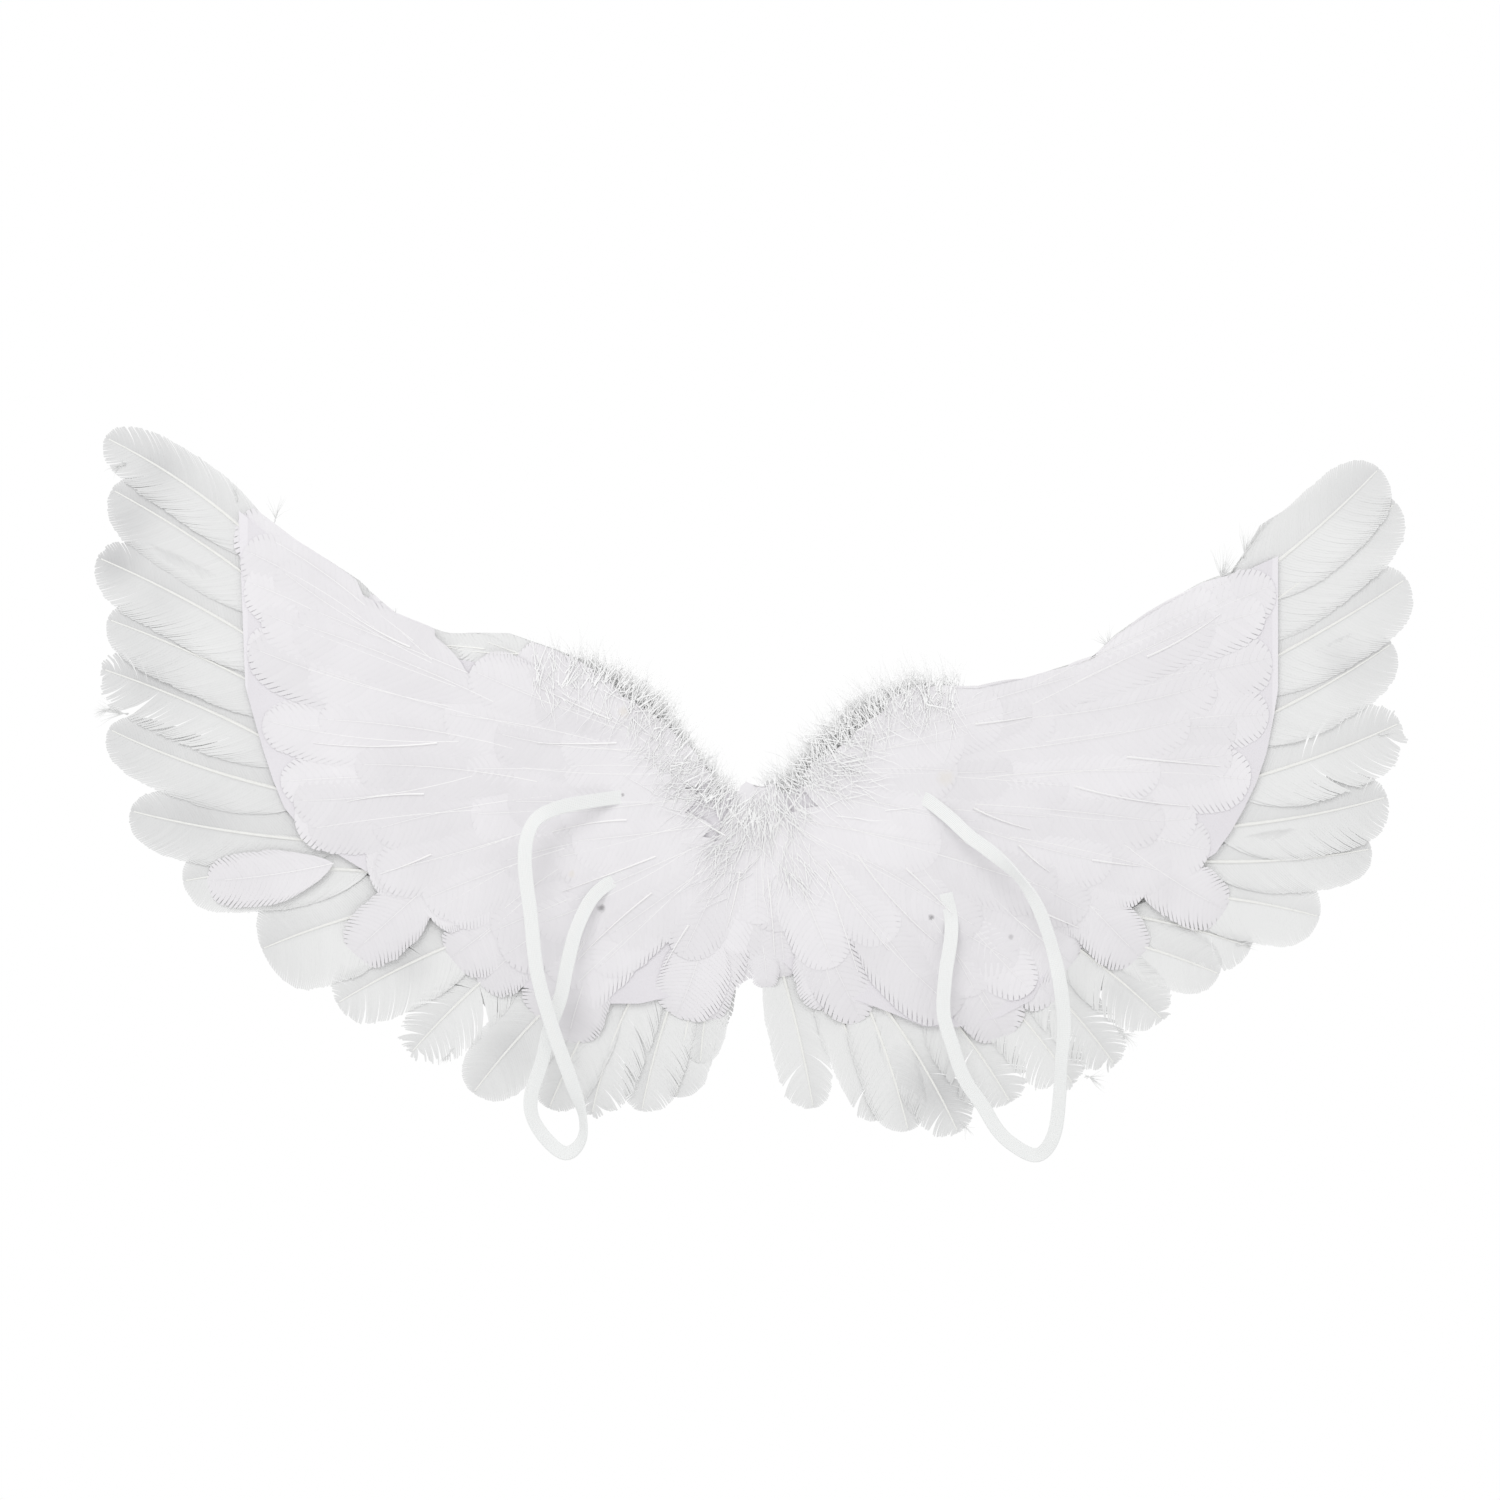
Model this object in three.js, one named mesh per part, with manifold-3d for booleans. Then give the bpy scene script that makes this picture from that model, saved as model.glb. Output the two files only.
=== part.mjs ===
import * as THREE from 'three';
import { mergeVertices } from 'three/addons/utils/BufferGeometryUtils.js';
import Module from 'manifold-3d';

// A pair of feather costume wings, in millimetres. +X runs to the right as seen from the wearer's
// side, +Z is up, and the wearer stands on the -Y side. The origin is on the card's wearer face, in
// the middle between the wings.

const wasm = await Module();
wasm.setup();

// Driving sizes
const wingReach = 330; // centre line to the outermost feather tips
const wingHeight = 350; // lowest to highest feather tip
const seatGap = 0.3; // clearance between pieces that lie on each other
const cardThickness = 1.5;
const cardSegments = 2; // straight stretches between two outline points
const flightWidth = 38; // widest part of a full-size flight feather
const vaneThickness = 0.8;
const shaftWidth = 1.8;
const shaftHeight = 1.3; // shaft and vane together
const flightTiers = 3; // neighbours lie in turn in this many layers
const covertWidth = 30;
const covertHeight = 1.3;
const rowStep = 0.5; // how far every other feather of a row is raised
const tapeWidth = 8; // the tape that a row of feathers is strung on
const tapeThickness = 0.9;
const tapeInset = 7; // middle of the tape, outwards from the roots
const lowerCovertLength = 64;
const middleCovertLength = 58;
const upperCovertLength = 56;
const liningWidth = 28;
const outerLiningLength = 92;
const innerLiningLength = 86;
const trimThickness = 9; // depth of the down strip's backing
const trimBackingWidth = 12;
const downLength = 15; // how far the down stands out of its backing
const downLockWidth = 9;
const strapWidth = 7;
const strapThickness = 1.2;
const strapSpread = 66.5; // width of an arm loop
const strapDrop = 177; // height of an arm loop
const strapBow = 30; // how far an arm loop stands off the card
const strapSteps = 38;

// Rounded outlines of the card, as shares of the reach and the height, from the top of the centre
// to the bottom of the centre.
const leftCardTop = [
  { out: 0, up: 0.07 },
  { out: 0.06, up: 0.09 },
  { out: 0.15, up: 0.155 },
  { out: 0.225, up: 0.23 },
  { out: 0.3, up: 0.255 },
  { out: 0.395, up: 0.265 },
  { out: 0.485, up: 0.28 },
  { out: 0.61, up: 0.35 },
  { out: 0.79, up: 0.485 },
];
const leftCardBottom = [
  { out: 0.78, up: 0.235 },
  { out: 0.75, up: 0.135 },
  { out: 0.71, up: 0.045 },
  { out: 0.625, up: -0.015 },
  { out: 0.485, up: -0.09 },
  { out: 0.395, up: -0.175 },
  { out: 0.29, up: -0.215 },
  { out: 0.15, up: -0.215 },
  { out: 0.065, up: -0.165 },
  { out: 0, up: -0.13 },
];
const rightCardTop = [
  { out: 0, up: 0.07 },
  { out: 0.08, up: 0.1 },
  { out: 0.15, up: 0.17 },
  { out: 0.23, up: 0.215 },
  { out: 0.365, up: 0.23 },
  { out: 0.54, up: 0.28 },
  { out: 0.69, up: 0.375 },
  { out: 0.785, up: 0.42 },
];
const rightCardBottom = [
  { out: 0.785, up: 0.23 },
  { out: 0.765, up: 0.13 },
  { out: 0.725, up: 0.045 },
  { out: 0.67, up: -0.02 },
  { out: 0.54, up: -0.07 },
  { out: 0.455, up: -0.135 },
  { out: 0.405, up: -0.22 },
  { out: 0.275, up: -0.255 },
  { out: 0.18, up: -0.225 },
  { out: 0.075, up: -0.19 },
  { out: 0, up: -0.13 },
];

// Flight feathers from the upper tip round to the centre: root and tip as shares of the reach and
// the height, width as a share of the full width, and bend as a share of the length.
const leftFlights = [
  { rootOut: 0.695, rootUp: 0.375, tipOut: 0.995, tipUp: 0.588, width: 0.88, bend: 0.05 },
  { rootOut: 0.665, rootUp: 0.305, tipOut: 0.985, tipUp: 0.512, width: 1, bend: 0.03 },
  { rootOut: 0.65, rootUp: 0.225, tipOut: 1.005, tipUp: 0.415, width: 1, bend: 0.03 },
  { rootOut: 0.635, rootUp: 0.165, tipOut: 0.99, tipUp: 0.33, width: 0.95, bend: 0.03 },
  { rootOut: 0.65, rootUp: 0.105, tipOut: 0.995, tipUp: 0.25, width: 1.05, bend: 0.03 },
  { rootOut: 0.63, rootUp: 0.07, tipOut: 0.99, tipUp: 0.17, width: 0.88, bend: -0.04 },
  { rootOut: 0.59, rootUp: 0.01, tipOut: 0.955, tipUp: 0.055, width: 0.9, bend: -0.03 },
  { rootOut: 0.56, rootUp: -0.025, tipOut: 0.875, tipUp: -0.045, width: 0.92, bend: 0.04 },
  { rootOut: 0.5, rootUp: -0.075, tipOut: 0.76, tipUp: -0.125, width: 1.25, bend: 0.03 },
  { rootOut: 0.38, rootUp: -0.105, tipOut: 0.635, tipUp: -0.225, width: 1, bend: 0.03 },
  { rootOut: 0.325, rootUp: -0.115, tipOut: 0.525, tipUp: -0.292, width: 1, bend: 0.03 },
  { rootOut: 0.24, rootUp: -0.155, tipOut: 0.435, tipUp: -0.35, width: 0.95, bend: 0.03 },
  { rootOut: 0.205, rootUp: -0.155, tipOut: 0.32, tipUp: -0.37, width: 0.85, bend: 0.02 },
  { rootOut: 0.13, rootUp: -0.115, tipOut: 0.255, tipUp: -0.375, width: 0.9, bend: 0.06 },
  { rootOut: 0.1, rootUp: -0.135, tipOut: 0.19, tipUp: -0.375, width: 0.8, bend: 0.03 },
  { rootOut: 0.075, rootUp: -0.13, tipOut: 0.13, tipUp: -0.35, width: 0.75, bend: 0.03 },
  { rootOut: 0.055, rootUp: -0.08, tipOut: 0.095, tipUp: -0.305, width: 0.55, bend: 0.03 },
];
const rightFlights = [
  { rootOut: 0.68, rootUp: 0.335, tipOut: 0.937, tipUp: 0.553, width: 1.05, bend: -0.03 },
  { rootOut: 0.635, rootUp: 0.27, tipOut: 0.975, tipUp: 0.495, width: 1.05, bend: -0.03 },
  { rootOut: 0.65, rootUp: 0.215, tipOut: 0.985, tipUp: 0.38, width: 1.05, bend: -0.02 },
  { rootOut: 0.665, rootUp: 0.15, tipOut: 0.965, tipUp: 0.285, width: 0.98, bend: -0.03 },
  { rootOut: 0.665, rootUp: 0.085, tipOut: 0.97, tipUp: 0.172, width: 1.05, bend: -0.03 },
  { rootOut: 0.65, rootUp: 0.03, tipOut: 0.955, tipUp: 0.07, width: 1.02, bend: -0.03 },
  { rootOut: 0.635, rootUp: -0.015, tipOut: 0.925, tipUp: 0.002, width: 0.85, bend: -0.03 },
  { rootOut: 0.59, rootUp: -0.06, tipOut: 0.845, tipUp: -0.1, width: 0.98, bend: 0.03 },
  { rootOut: 0.53, rootUp: -0.09, tipOut: 0.745, tipUp: -0.14, width: 0.85, bend: 0.03 },
  { rootOut: 0.475, rootUp: -0.115, tipOut: 0.695, tipUp: -0.18, width: 0.85, bend: 0.03 },
  { rootOut: 0.425, rootUp: -0.105, tipOut: 0.615, tipUp: -0.24, width: 0.95, bend: 0.03 },
  { rootOut: 0.365, rootUp: -0.13, tipOut: 0.54, tipUp: -0.305, width: 0.85, bend: 0.03 },
  { rootOut: 0.305, rootUp: -0.15, tipOut: 0.475, tipUp: -0.335, width: 0.95, bend: 0.03 },
  { rootOut: 0.235, rootUp: -0.18, tipOut: 0.38, tipUp: -0.36, width: 1, bend: 0.03 },
  { rootOut: 0.165, rootUp: -0.195, tipOut: 0.295, tipUp: -0.405, width: 0.88, bend: 0.03 },
  { rootOut: 0.13, rootUp: -0.155, tipOut: 0.225, tipUp: -0.405, width: 0.8, bend: 0.03 },
  { rootOut: 0.065, rootUp: -0.145, tipOut: 0.175, tipUp: -0.39, width: 0.7, bend: 0.03 },
  { rootOut: 0.035, rootUp: -0.105, tipOut: 0.075, tipUp: -0.37, width: 0.75, bend: 0.02 },
];

// Outline of one feather: place along the length, and half-width as a share of the widest.
const flightProfile = [
  { along: 0, spread: 0.12 },
  { along: 0.14, spread: 0.16 },
  { along: 0.26, spread: 0.66 },
  { along: 0.45, spread: 0.92 },
  { along: 0.68, spread: 1 },
  { along: 0.87, spread: 0.88 },
  { along: 0.96, spread: 0.6 },
  { along: 1, spread: 0.25 },
];
const smallProfile = [
  { along: 0, spread: 0.24 },
  { along: 0.4, spread: 0.94 },
  { along: 0.8, spread: 0.94 },
  { along: 1, spread: 0.3 },
];

// Rows of small feathers: where their roots lie, how steeply they rise outwards in degrees, and how
// long they are as a share of the row's length.
const lowerCovertRow = [
  { out: 0.7, up: 0.36, rise: 36 },
  { out: 0.65, up: 0.215, rise: 24 },
  { out: 0.59, up: 0.07, rise: 6 },
  { out: 0.44, up: -0.045, rise: -28 },
  { out: 0.24, up: -0.105, rise: -58 },
  { out: 0.065, up: -0.08, rise: -82 },
];
const middleCovertRow = [
  { out: 0.605, up: 0.3, rise: 34 },
  { out: 0.545, up: 0.155, rise: 18 },
  { out: 0.425, up: 0.045, rise: -10 },
  { out: 0.26, up: -0.03, rise: -45 },
  { out: 0.065, up: -0.015, rise: -80 },
];
const leftUpperCovertRow = [
  { out: 0.61, up: 0.33, rise: 38 },
  { out: 0.485, up: 0.26, rise: 29 },
  { out: 0.375, up: 0.2, rise: 15 },
  { out: 0.24, up: 0.14, rise: -10 },
  { out: 0.145, up: 0.07, rise: -40 },
  { out: 0.065, up: 0.01, rise: -78 },
];
const rightUpperCovertRow = [
  { out: 0.61, up: 0.305, rise: 36 },
  { out: 0.485, up: 0.24, rise: 28 },
  { out: 0.375, up: 0.19, rise: 14 },
  { out: 0.24, up: 0.14, rise: -10 },
  { out: 0.145, up: 0.07, rise: -40 },
  { out: 0.065, up: 0.01, rise: -78 },
];
const outerLiningRow = [
  { out: 0.535, up: 0.3, rise: 36 },
  { out: 0.465, up: 0.21, rise: 16 },
  { out: 0.44, up: 0.115, rise: 2 },
  { out: 0.43, up: 0.02, rise: -12 },
  { out: 0.35, up: -0.06, rise: -36 },
  { out: 0.24, up: -0.085, rise: -55 },
];
const innerLiningRow = [
  { out: 0.24, up: 0.185, rise: 26 },
  { out: 0.18, up: 0.13, rise: 6 },
  { out: 0.16, up: 0.05, rise: -9 },
  { out: 0.14, up: -0.01, rise: -24 },
  { out: 0.1, up: -0.045, rise: -50, long: 1.25 },
  { out: 0.06, up: -0.04, rise: -78, long: 1.2 },
];

// The down strips run along the top edge: middle of the backing, and the way the down stands.
const leftTrimPath = [
  { out: 0.345, up: 0.25, lean: 94 },
  { out: 0.27, up: 0.245, lean: 84 },
  { out: 0.19, up: 0.2, lean: 58 },
  { out: 0.12, up: 0.125, lean: 48 },
  { out: 0.06, up: 0.06, lean: 50 },
];
const rightTrimPath = [
  { out: 0.3, up: 0.21, lean: 94 },
  { out: 0.23, up: 0.215, lean: 88 },
  { out: 0.155, up: 0.18, lean: 66 },
  { out: 0.095, up: 0.115, lean: 56 },
  { out: 0.045, up: 0.075, lean: 60 },
];
const trimLockCount = 11;
const trimBottomShare = 0.5; // length of the locks that fall over the display side
const risingTilt = 0.2; // slope of every other rising lock towards the display side
const fallingTilt = 1; // slope of the falling locks off the display side

// Arm loops from the upper end round to the lower end: shares of the loop's spread, drop and bow,
// and the turn of the band about its own run in degrees.
const leftStrapRoute = [
  { across: -0.11, down: 0, off: 0, turn: 0 },
  { across: 0, down: 0, off: 0, turn: 0 },
  { across: 0.205, down: 0.01, off: 0.2, turn: 0 },
  { across: 0.455, down: 0.03, off: 0.45, turn: 0 },
  { across: 0.62, down: 0.07, off: 0.62, turn: 15 },
  { across: 0.68, down: 0.165, off: 0.75, turn: 0 },
  { across: 0.63, down: 0.33, off: 0.9, turn: 0 },
  { across: 0.58, down: 0.485, off: 1, turn: 0 },
  { across: 0.47, down: 0.635, off: 1, turn: 0 },
  { across: 0.33, down: 0.785, off: 0.95, turn: 10 },
  { across: 0.25, down: 0.88, off: 0.88, turn: 55 },
  { across: 0.255, down: 0.95, off: 0.82, turn: 50 },
  { across: 0.365, down: 0.99, off: 0.76, turn: 20 },
  { across: 0.5, down: 0.96, off: 0.7, turn: 20 },
  { across: 0.62, down: 0.895, off: 0.66, turn: 30 },
  { across: 0.635, down: 0.83, off: 0.62, turn: 10 },
  { across: 0.555, down: 0.735, off: 0.58, turn: 0 },
  { across: 0.505, down: 0.65, off: 0.55, turn: 0 },
  { across: 0.42, down: 0.56, off: 0.5, turn: 0 },
  { across: 0.37, down: 0.465, off: 0.42, turn: 0 },
  { across: 0.305, down: 0.37, off: 0.3, turn: 0 },
  { across: 0.205, down: 0.29, off: 0.14, turn: 0 },
  { across: 0.08, down: 0.245, off: 0, turn: 0 },
  { across: -0.08, down: 0.215, off: 0, turn: 0 },
];
const rightStrapRoute = [
  { across: -0.11, down: -0.02, off: 0, turn: 0 },
  { across: 0, down: 0, off: 0, turn: 0 },
  { across: 0.15, down: 0.045, off: 0.15, turn: 0 },
  { across: 0.305, down: 0.1, off: 0.35, turn: 0 },
  { across: 0.465, down: 0.145, off: 0.5, turn: 10 },
  { across: 0.65, down: 0.21, off: 0.65, turn: 55 },
  { across: 0.795, down: 0.295, off: 0.8, turn: 30 },
  { across: 0.895, down: 0.405, off: 0.9, turn: 30 },
  { across: 0.95, down: 0.505, off: 1, turn: 0 },
  { across: 0.98, down: 0.62, off: 1, turn: 10 },
  { across: 0.96, down: 0.725, off: 0.95, turn: 35 },
  { across: 0.95, down: 0.82, off: 0.9, turn: 30 },
  { across: 0.92, down: 0.915, off: 0.85, turn: 20 },
  { across: 0.85, down: 0.97, off: 0.8, turn: 10 },
  { across: 0.755, down: 0.985, off: 0.75, turn: 10 },
  { across: 0.605, down: 0.955, off: 0.7, turn: 10 },
  { across: 0.495, down: 0.915, off: 0.65, turn: 10 },
  { across: 0.39, down: 0.85, off: 0.6, turn: 0 },
  { across: 0.255, down: 0.775, off: 0.55, turn: 0 },
  { across: 0.17, down: 0.685, off: 0.5, turn: 0 },
  { across: 0.105, down: 0.595, off: 0.42, turn: 0 },
  { across: 0.12, down: 0.49, off: 0.32, turn: 0 },
  { across: 0.165, down: 0.39, off: 0.14, turn: 0 },
  { across: 0.17, down: 0.33, off: 0, turn: 0 },
  { across: 0.13, down: 0.26, off: 0, turn: 0 },
];
const leftStrapStart = { out: 0.215, up: 0.075 };
const rightStrapStart = { out: 0.255, up: 0.07 };

// Depths of the layers, worked out from the card outwards
const displayFace = cardThickness + seatGap;
const flightPitch = shaftHeight + seatGap;
const rowPitch = covertHeight + rowStep + seatGap;
const lowerCovertBase = displayFace + flightTiers * flightPitch;
const middleCovertBase = lowerCovertBase + rowPitch;
const upperCovertBase = middleCovertBase + rowPitch;
const outerLiningBase = -seatGap;
const innerLiningBase = outerLiningBase - rowPitch;

const featherMaterial = new THREE.MeshStandardMaterial({ color: '#e9e9ea', roughness: 0.8, metalness: 0 });
const downMaterial = new THREE.MeshStandardMaterial({ color: '#eeeeee', roughness: 0.95, metalness: 0 });
const cardMaterial = new THREE.MeshStandardMaterial({ color: '#e7e4ea', roughness: 0.9, metalness: 0 });
const strapMaterial = new THREE.MeshStandardMaterial({ color: '#f1f3f2', roughness: 0.7, metalness: 0 });

const wings = new THREE.Group();

function addPiece(name, geometry, material) {
  const mesh = new THREE.Mesh(geometry, material.clone());
  mesh.name = name;
  wings.add(mesh);
}

function placeOnWing(side, out, up) {
  return new THREE.Vector2(side * out * wingReach, up * wingHeight);
}

// A closed solid through rings of the same number of points, with its faces turned outwards
function loft(rings) {
  const count = rings[0].length;
  const points = rings.flat();
  const faces = [];
  for (let ring = 0; ring < rings.length - 1; ring += 1) {
    for (let point = 0; point < count; point += 1) {
      const here = ring * count + point;
      const next = ring * count + ((point + 1) % count);
      faces.push([here, next, next + count], [here, next + count, here + count]);
    }
  }
  const last = points.length - count;
  for (let point = 1; point < count - 1; point += 1) {
    faces.push([0, point + 1, point], [last, last + point, last + point + 1]);
  }
  let volume = 0;
  for (const [a, b, c] of faces) {
    volume += points[a].dot(new THREE.Vector3().crossVectors(points[b], points[c]));
  }
  const outward = volume > 0 ? faces : faces.map(([a, b, c]) => [a, c, b]);
  const geometry = new THREE.BufferGeometry().setFromPoints(points);
  geometry.setIndex(outward.flat());
  return geometry;
}

function toManifold(geometry) {
  const bare = geometry.clone();
  bare.deleteAttribute('normal');
  bare.deleteAttribute('uv');
  const merged = mergeVertices(bare);
  return new wasm.Manifold(new wasm.Mesh({
    numProp: 3,
    vertProperties: new Float32Array(merged.attributes.position.array),
    triVerts: new Uint32Array(merged.index.array),
  }));
}

function toGeometry(manifold) {
  const mesh = manifold.getMesh();
  const geometry = new THREE.BufferGeometry();
  geometry.setAttribute('position', new THREE.BufferAttribute(mesh.vertProperties, 3));
  geometry.setIndex(new THREE.BufferAttribute(mesh.triVerts, 1));
  return geometry;
}

function joinAll(geometries) {
  let joined = toManifold(geometries[0]);
  for (const geometry of geometries.slice(1)) {
    joined = joined.add(toManifold(geometry));
  }
  return joined;
}

// Keeps the outer body alone: slots leave loose slivers at a feather's edge, and raised feathers
// close small pockets against the tape
function outerBody(manifold) {
  const parts = manifold.decompose();
  return parts.reduce((best, part) => (part.volume() > best.volume() ? part : best));
}

// The section of a flight feather: a flat underside, thin vanes and a shaft along the middle
function flightSection(halfWidth) {
  return [
    { across: -halfWidth, rise: 0 },
    { across: halfWidth, rise: 0 },
    { across: halfWidth, rise: vaneThickness },
    { across: shaftWidth / 2, rise: shaftHeight },
    { across: -shaftWidth / 2, rise: shaftHeight },
    { across: -halfWidth, rise: vaneThickness },
  ];
}

function smallSection(halfWidth) {
  return [
    { across: -halfWidth, rise: 0 },
    { across: halfWidth, rise: 0 },
    { across: halfWidth / 2, rise: covertHeight },
    { across: -halfWidth / 2, rise: covertHeight },
  ];
}

// One feather from root to tip in its layer. It rises off the layer's base towards `facing`.
function featherGeometry({ root, tip, width, bend, profile, section, base, facing }) {
  const run = tip.clone().sub(root);
  const aside = new THREE.Vector2(-run.y, run.x);
  const middle = root.clone().add(tip).multiplyScalar(0.5).addScaledVector(aside, bend * 2);
  const quill = new THREE.QuadraticBezierCurve(root, middle, tip);
  const rings = profile.map(({ along, spread }) => {
    const centre = quill.getPoint(along);
    const tangent = quill.getTangent(along);
    return section((width / 2) * spread).map(({ across, rise }) => new THREE.Vector3(
      centre.x - tangent.y * across,
      base + facing * rise,
      centre.y + tangent.x * across,
    ));
  });
  return loft(rings);
}

function addFlightFeathers(wing, side, rows) {
  rows.forEach((row, index) => {
    const geometry = featherGeometry({
      root: placeOnWing(side, row.rootOut, row.rootUp),
      tip: placeOnWing(side, row.tipOut, row.tipUp),
      width: flightWidth * row.width,
      bend: side * row.bend,
      profile: flightProfile,
      section: flightSection,
      base: displayFace + (index % flightTiers) * flightPitch,
      facing: 1,
    });
    addPiece(`${wing}_flight_feather_${String(index + 1).padStart(2, '0')}`, geometry, featherMaterial);
  });
}

// A row of overlapping feathers, every other one raised a little, joined to the tape at their roots
function featherRow({ side, stations, count, length, width, base, facing }) {
  const path = new THREE.CatmullRomCurve3(stations.map(({ out, up, rise }) => {
    const place = placeOnWing(side, out, up);
    return new THREE.Vector3(place.x, place.y, THREE.MathUtils.degToRad(rise));
  }));
  const shares = new THREE.CatmullRomCurve3(stations.map(({ long = 1 }) => new THREE.Vector3(long, 0, 0)));
  const feathers = [];
  const tape = [];
  for (let index = 0; index < count; index += 1) {
    const along = path.getUtoTmapping(index / (count - 1));
    const station = path.getPoint(along);
    const root = new THREE.Vector2(station.x, station.y);
    const outward = new THREE.Vector2(side * Math.cos(station.z), Math.sin(station.z));
    tape.push([[-1, 0], [1, 0], [1, 1], [-1, 1]].map(([over, rise]) => new THREE.Vector3(
      root.x + outward.x * (tapeInset + (over * tapeWidth) / 2),
      base + facing * rise * tapeThickness,
      root.y + outward.y * (tapeInset + (over * tapeWidth) / 2),
    )));
    feathers.push(featherGeometry({
      root,
      tip: root.clone().addScaledVector(outward, length * shares.getPoint(along).x),
      width,
      bend: 0,
      profile: smallProfile,
      section: smallSection,
      base: base + facing * rowStep * (index % 2),
      facing,
    }));
  }
  return joinAll([loft(tape), ...feathers]);
}

function cardGeometry() {
  const place = (side) => ({ out, up }) => placeOnWing(side, out, up);
  const shape = new THREE.Shape();
  const start = placeOnWing(1, rightCardTop[0].out, rightCardTop[0].up);
  shape.moveTo(start.x, start.y);
  shape.splineThru(rightCardTop.slice(1).map(place(1)));
  const rightEdge = placeOnWing(1, rightCardBottom[0].out, rightCardBottom[0].up);
  shape.lineTo(rightEdge.x, rightEdge.y);
  shape.splineThru(rightCardBottom.slice(1).map(place(1)));
  shape.splineThru(leftCardBottom.slice(0, -1).reverse().map(place(-1)));
  const leftTip = leftCardTop[leftCardTop.length - 1];
  const leftEdge = placeOnWing(-1, leftTip.out, leftTip.up);
  shape.lineTo(leftEdge.x, leftEdge.y);
  shape.splineThru(leftCardTop.slice(0, -1).reverse().map(place(-1)));
  const geometry = new THREE.ExtrudeGeometry(shape, {
    depth: cardThickness,
    bevelEnabled: false,
    curveSegments: cardSegments,
  });
  geometry.rotateX(Math.PI / 2);
  geometry.translate(0, cardThickness, 0);
  return geometry;
}

// A lock of down: a soft four-sided spindle from inside the backing outwards
function downLock(foot, direction, length) {
  const profile = [
    { along: 0, spread: 0.8 },
    { along: 0.5, spread: 1 },
    { along: 1, spread: 0.4 },
  ];
  const sides = 4;
  const first = new THREE.Vector3(-direction.z, 0, direction.x).normalize();
  const second = new THREE.Vector3().crossVectors(direction, first).normalize();
  const rings = profile.map(({ along, spread }) => {
    const centre = foot.clone().addScaledVector(direction, along * length);
    const ring = [];
    for (let corner = 0; corner < sides; corner += 1) {
      const angle = (2 * Math.PI * corner) / sides;
      const point = centre.clone();
      point.addScaledVector(first, (downLockWidth / 2) * spread * Math.cos(angle));
      point.addScaledVector(second, (downLockWidth / 2) * spread * Math.sin(angle));
      ring.push(point);
    }
    return ring;
  });
  return loft(rings);
}

function downTrim(side, stations) {
  const path = new THREE.CatmullRomCurve3(stations.map(({ out, up, lean }) => {
    const place = placeOnWing(side, out, up);
    return new THREE.Vector3(place.x, place.y, THREE.MathUtils.degToRad(lean));
  }));
  const half = trimBackingWidth / 2;
  const depth = displayFace + trimThickness / 2;
  const backing = [];
  const locks = [];
  for (let index = 0; index < trimLockCount; index += 1) {
    const station = path.getPointAt(index / (trimLockCount - 1));
    const upward = new THREE.Vector3(-side * Math.cos(station.z), 0, Math.sin(station.z));
    const foot = new THREE.Vector3(station.x, depth, station.y);
    backing.push([
      { over: -1, deep: -1 },
      { over: 1, deep: -1 },
      { over: 1, deep: 0.5 },
      { over: 0, deep: 1 },
      { over: -1, deep: 0.5 },
    ].map(({ over, deep }) => {
      const point = foot.clone().addScaledVector(upward, over * half);
      point.y += (deep * trimThickness) / 2;
      return point;
    }));
    const tilt = index % 2 ? risingTilt : 0;
    const rising = upward.clone().add(new THREE.Vector3(0, tilt, 0)).normalize();
    locks.push(downLock(foot, rising, half + downLength));
    const falling = upward.clone().negate().add(new THREE.Vector3(0, fallingTilt, 0)).normalize();
    locks.push(downLock(foot, falling, half + downLength * trimBottomShare));
  }
  return joinAll([loft(backing), ...locks]);
}

// A flat band along an arm loop's route. `grow` widens it all round, for the slots it passes.
function strapGeometry(side, start, route, grow) {
  const origin = placeOnWing(side, start.out, start.up);
  const faceDepth = -(seatGap + strapThickness / 2);
  const curve = new THREE.CatmullRomCurve3(route.map(({ across, down, off }) => new THREE.Vector3(
    origin.x + side * across * strapSpread,
    faceDepth - off * strapBow,
    origin.y - down * strapDrop,
  )));
  const depthAxis = new THREE.Vector3(0, 1, 0);
  const rings = [];
  for (let step = 0; step <= strapSteps; step += 1) {
    const share = step / strapSteps;
    const along = curve.getUtoTmapping(share) * (route.length - 1);
    const before = Math.min(Math.floor(along), route.length - 2);
    const turn = THREE.MathUtils.lerp(route[before].turn, route[before + 1].turn, along - before);
    const centre = curve.getPointAt(share);
    centre.y = Math.min(centre.y, faceDepth);
    const tangent = curve.getTangentAt(share);
    const wide = new THREE.Vector3().crossVectors(tangent, depthAxis).normalize();
    wide.applyAxisAngle(tangent, THREE.MathUtils.degToRad(turn));
    const thick = new THREE.Vector3().crossVectors(wide, tangent).normalize();
    const halfWidth = strapWidth / 2 + grow;
    const halfThickness = strapThickness / 2 + grow;
    rings.push([[-1, -1], [1, -1], [1, 1], [-1, 1]].map(([w, t]) => centre.clone()
      .addScaledVector(wide, w * halfWidth)
      .addScaledVector(thick, t * halfThickness)));
  }
  return loft(rings);
}

addPiece('base_card', cardGeometry(), cardMaterial);
addFlightFeathers('left', -1, leftFlights);
addFlightFeathers('right', 1, rightFlights);

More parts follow.
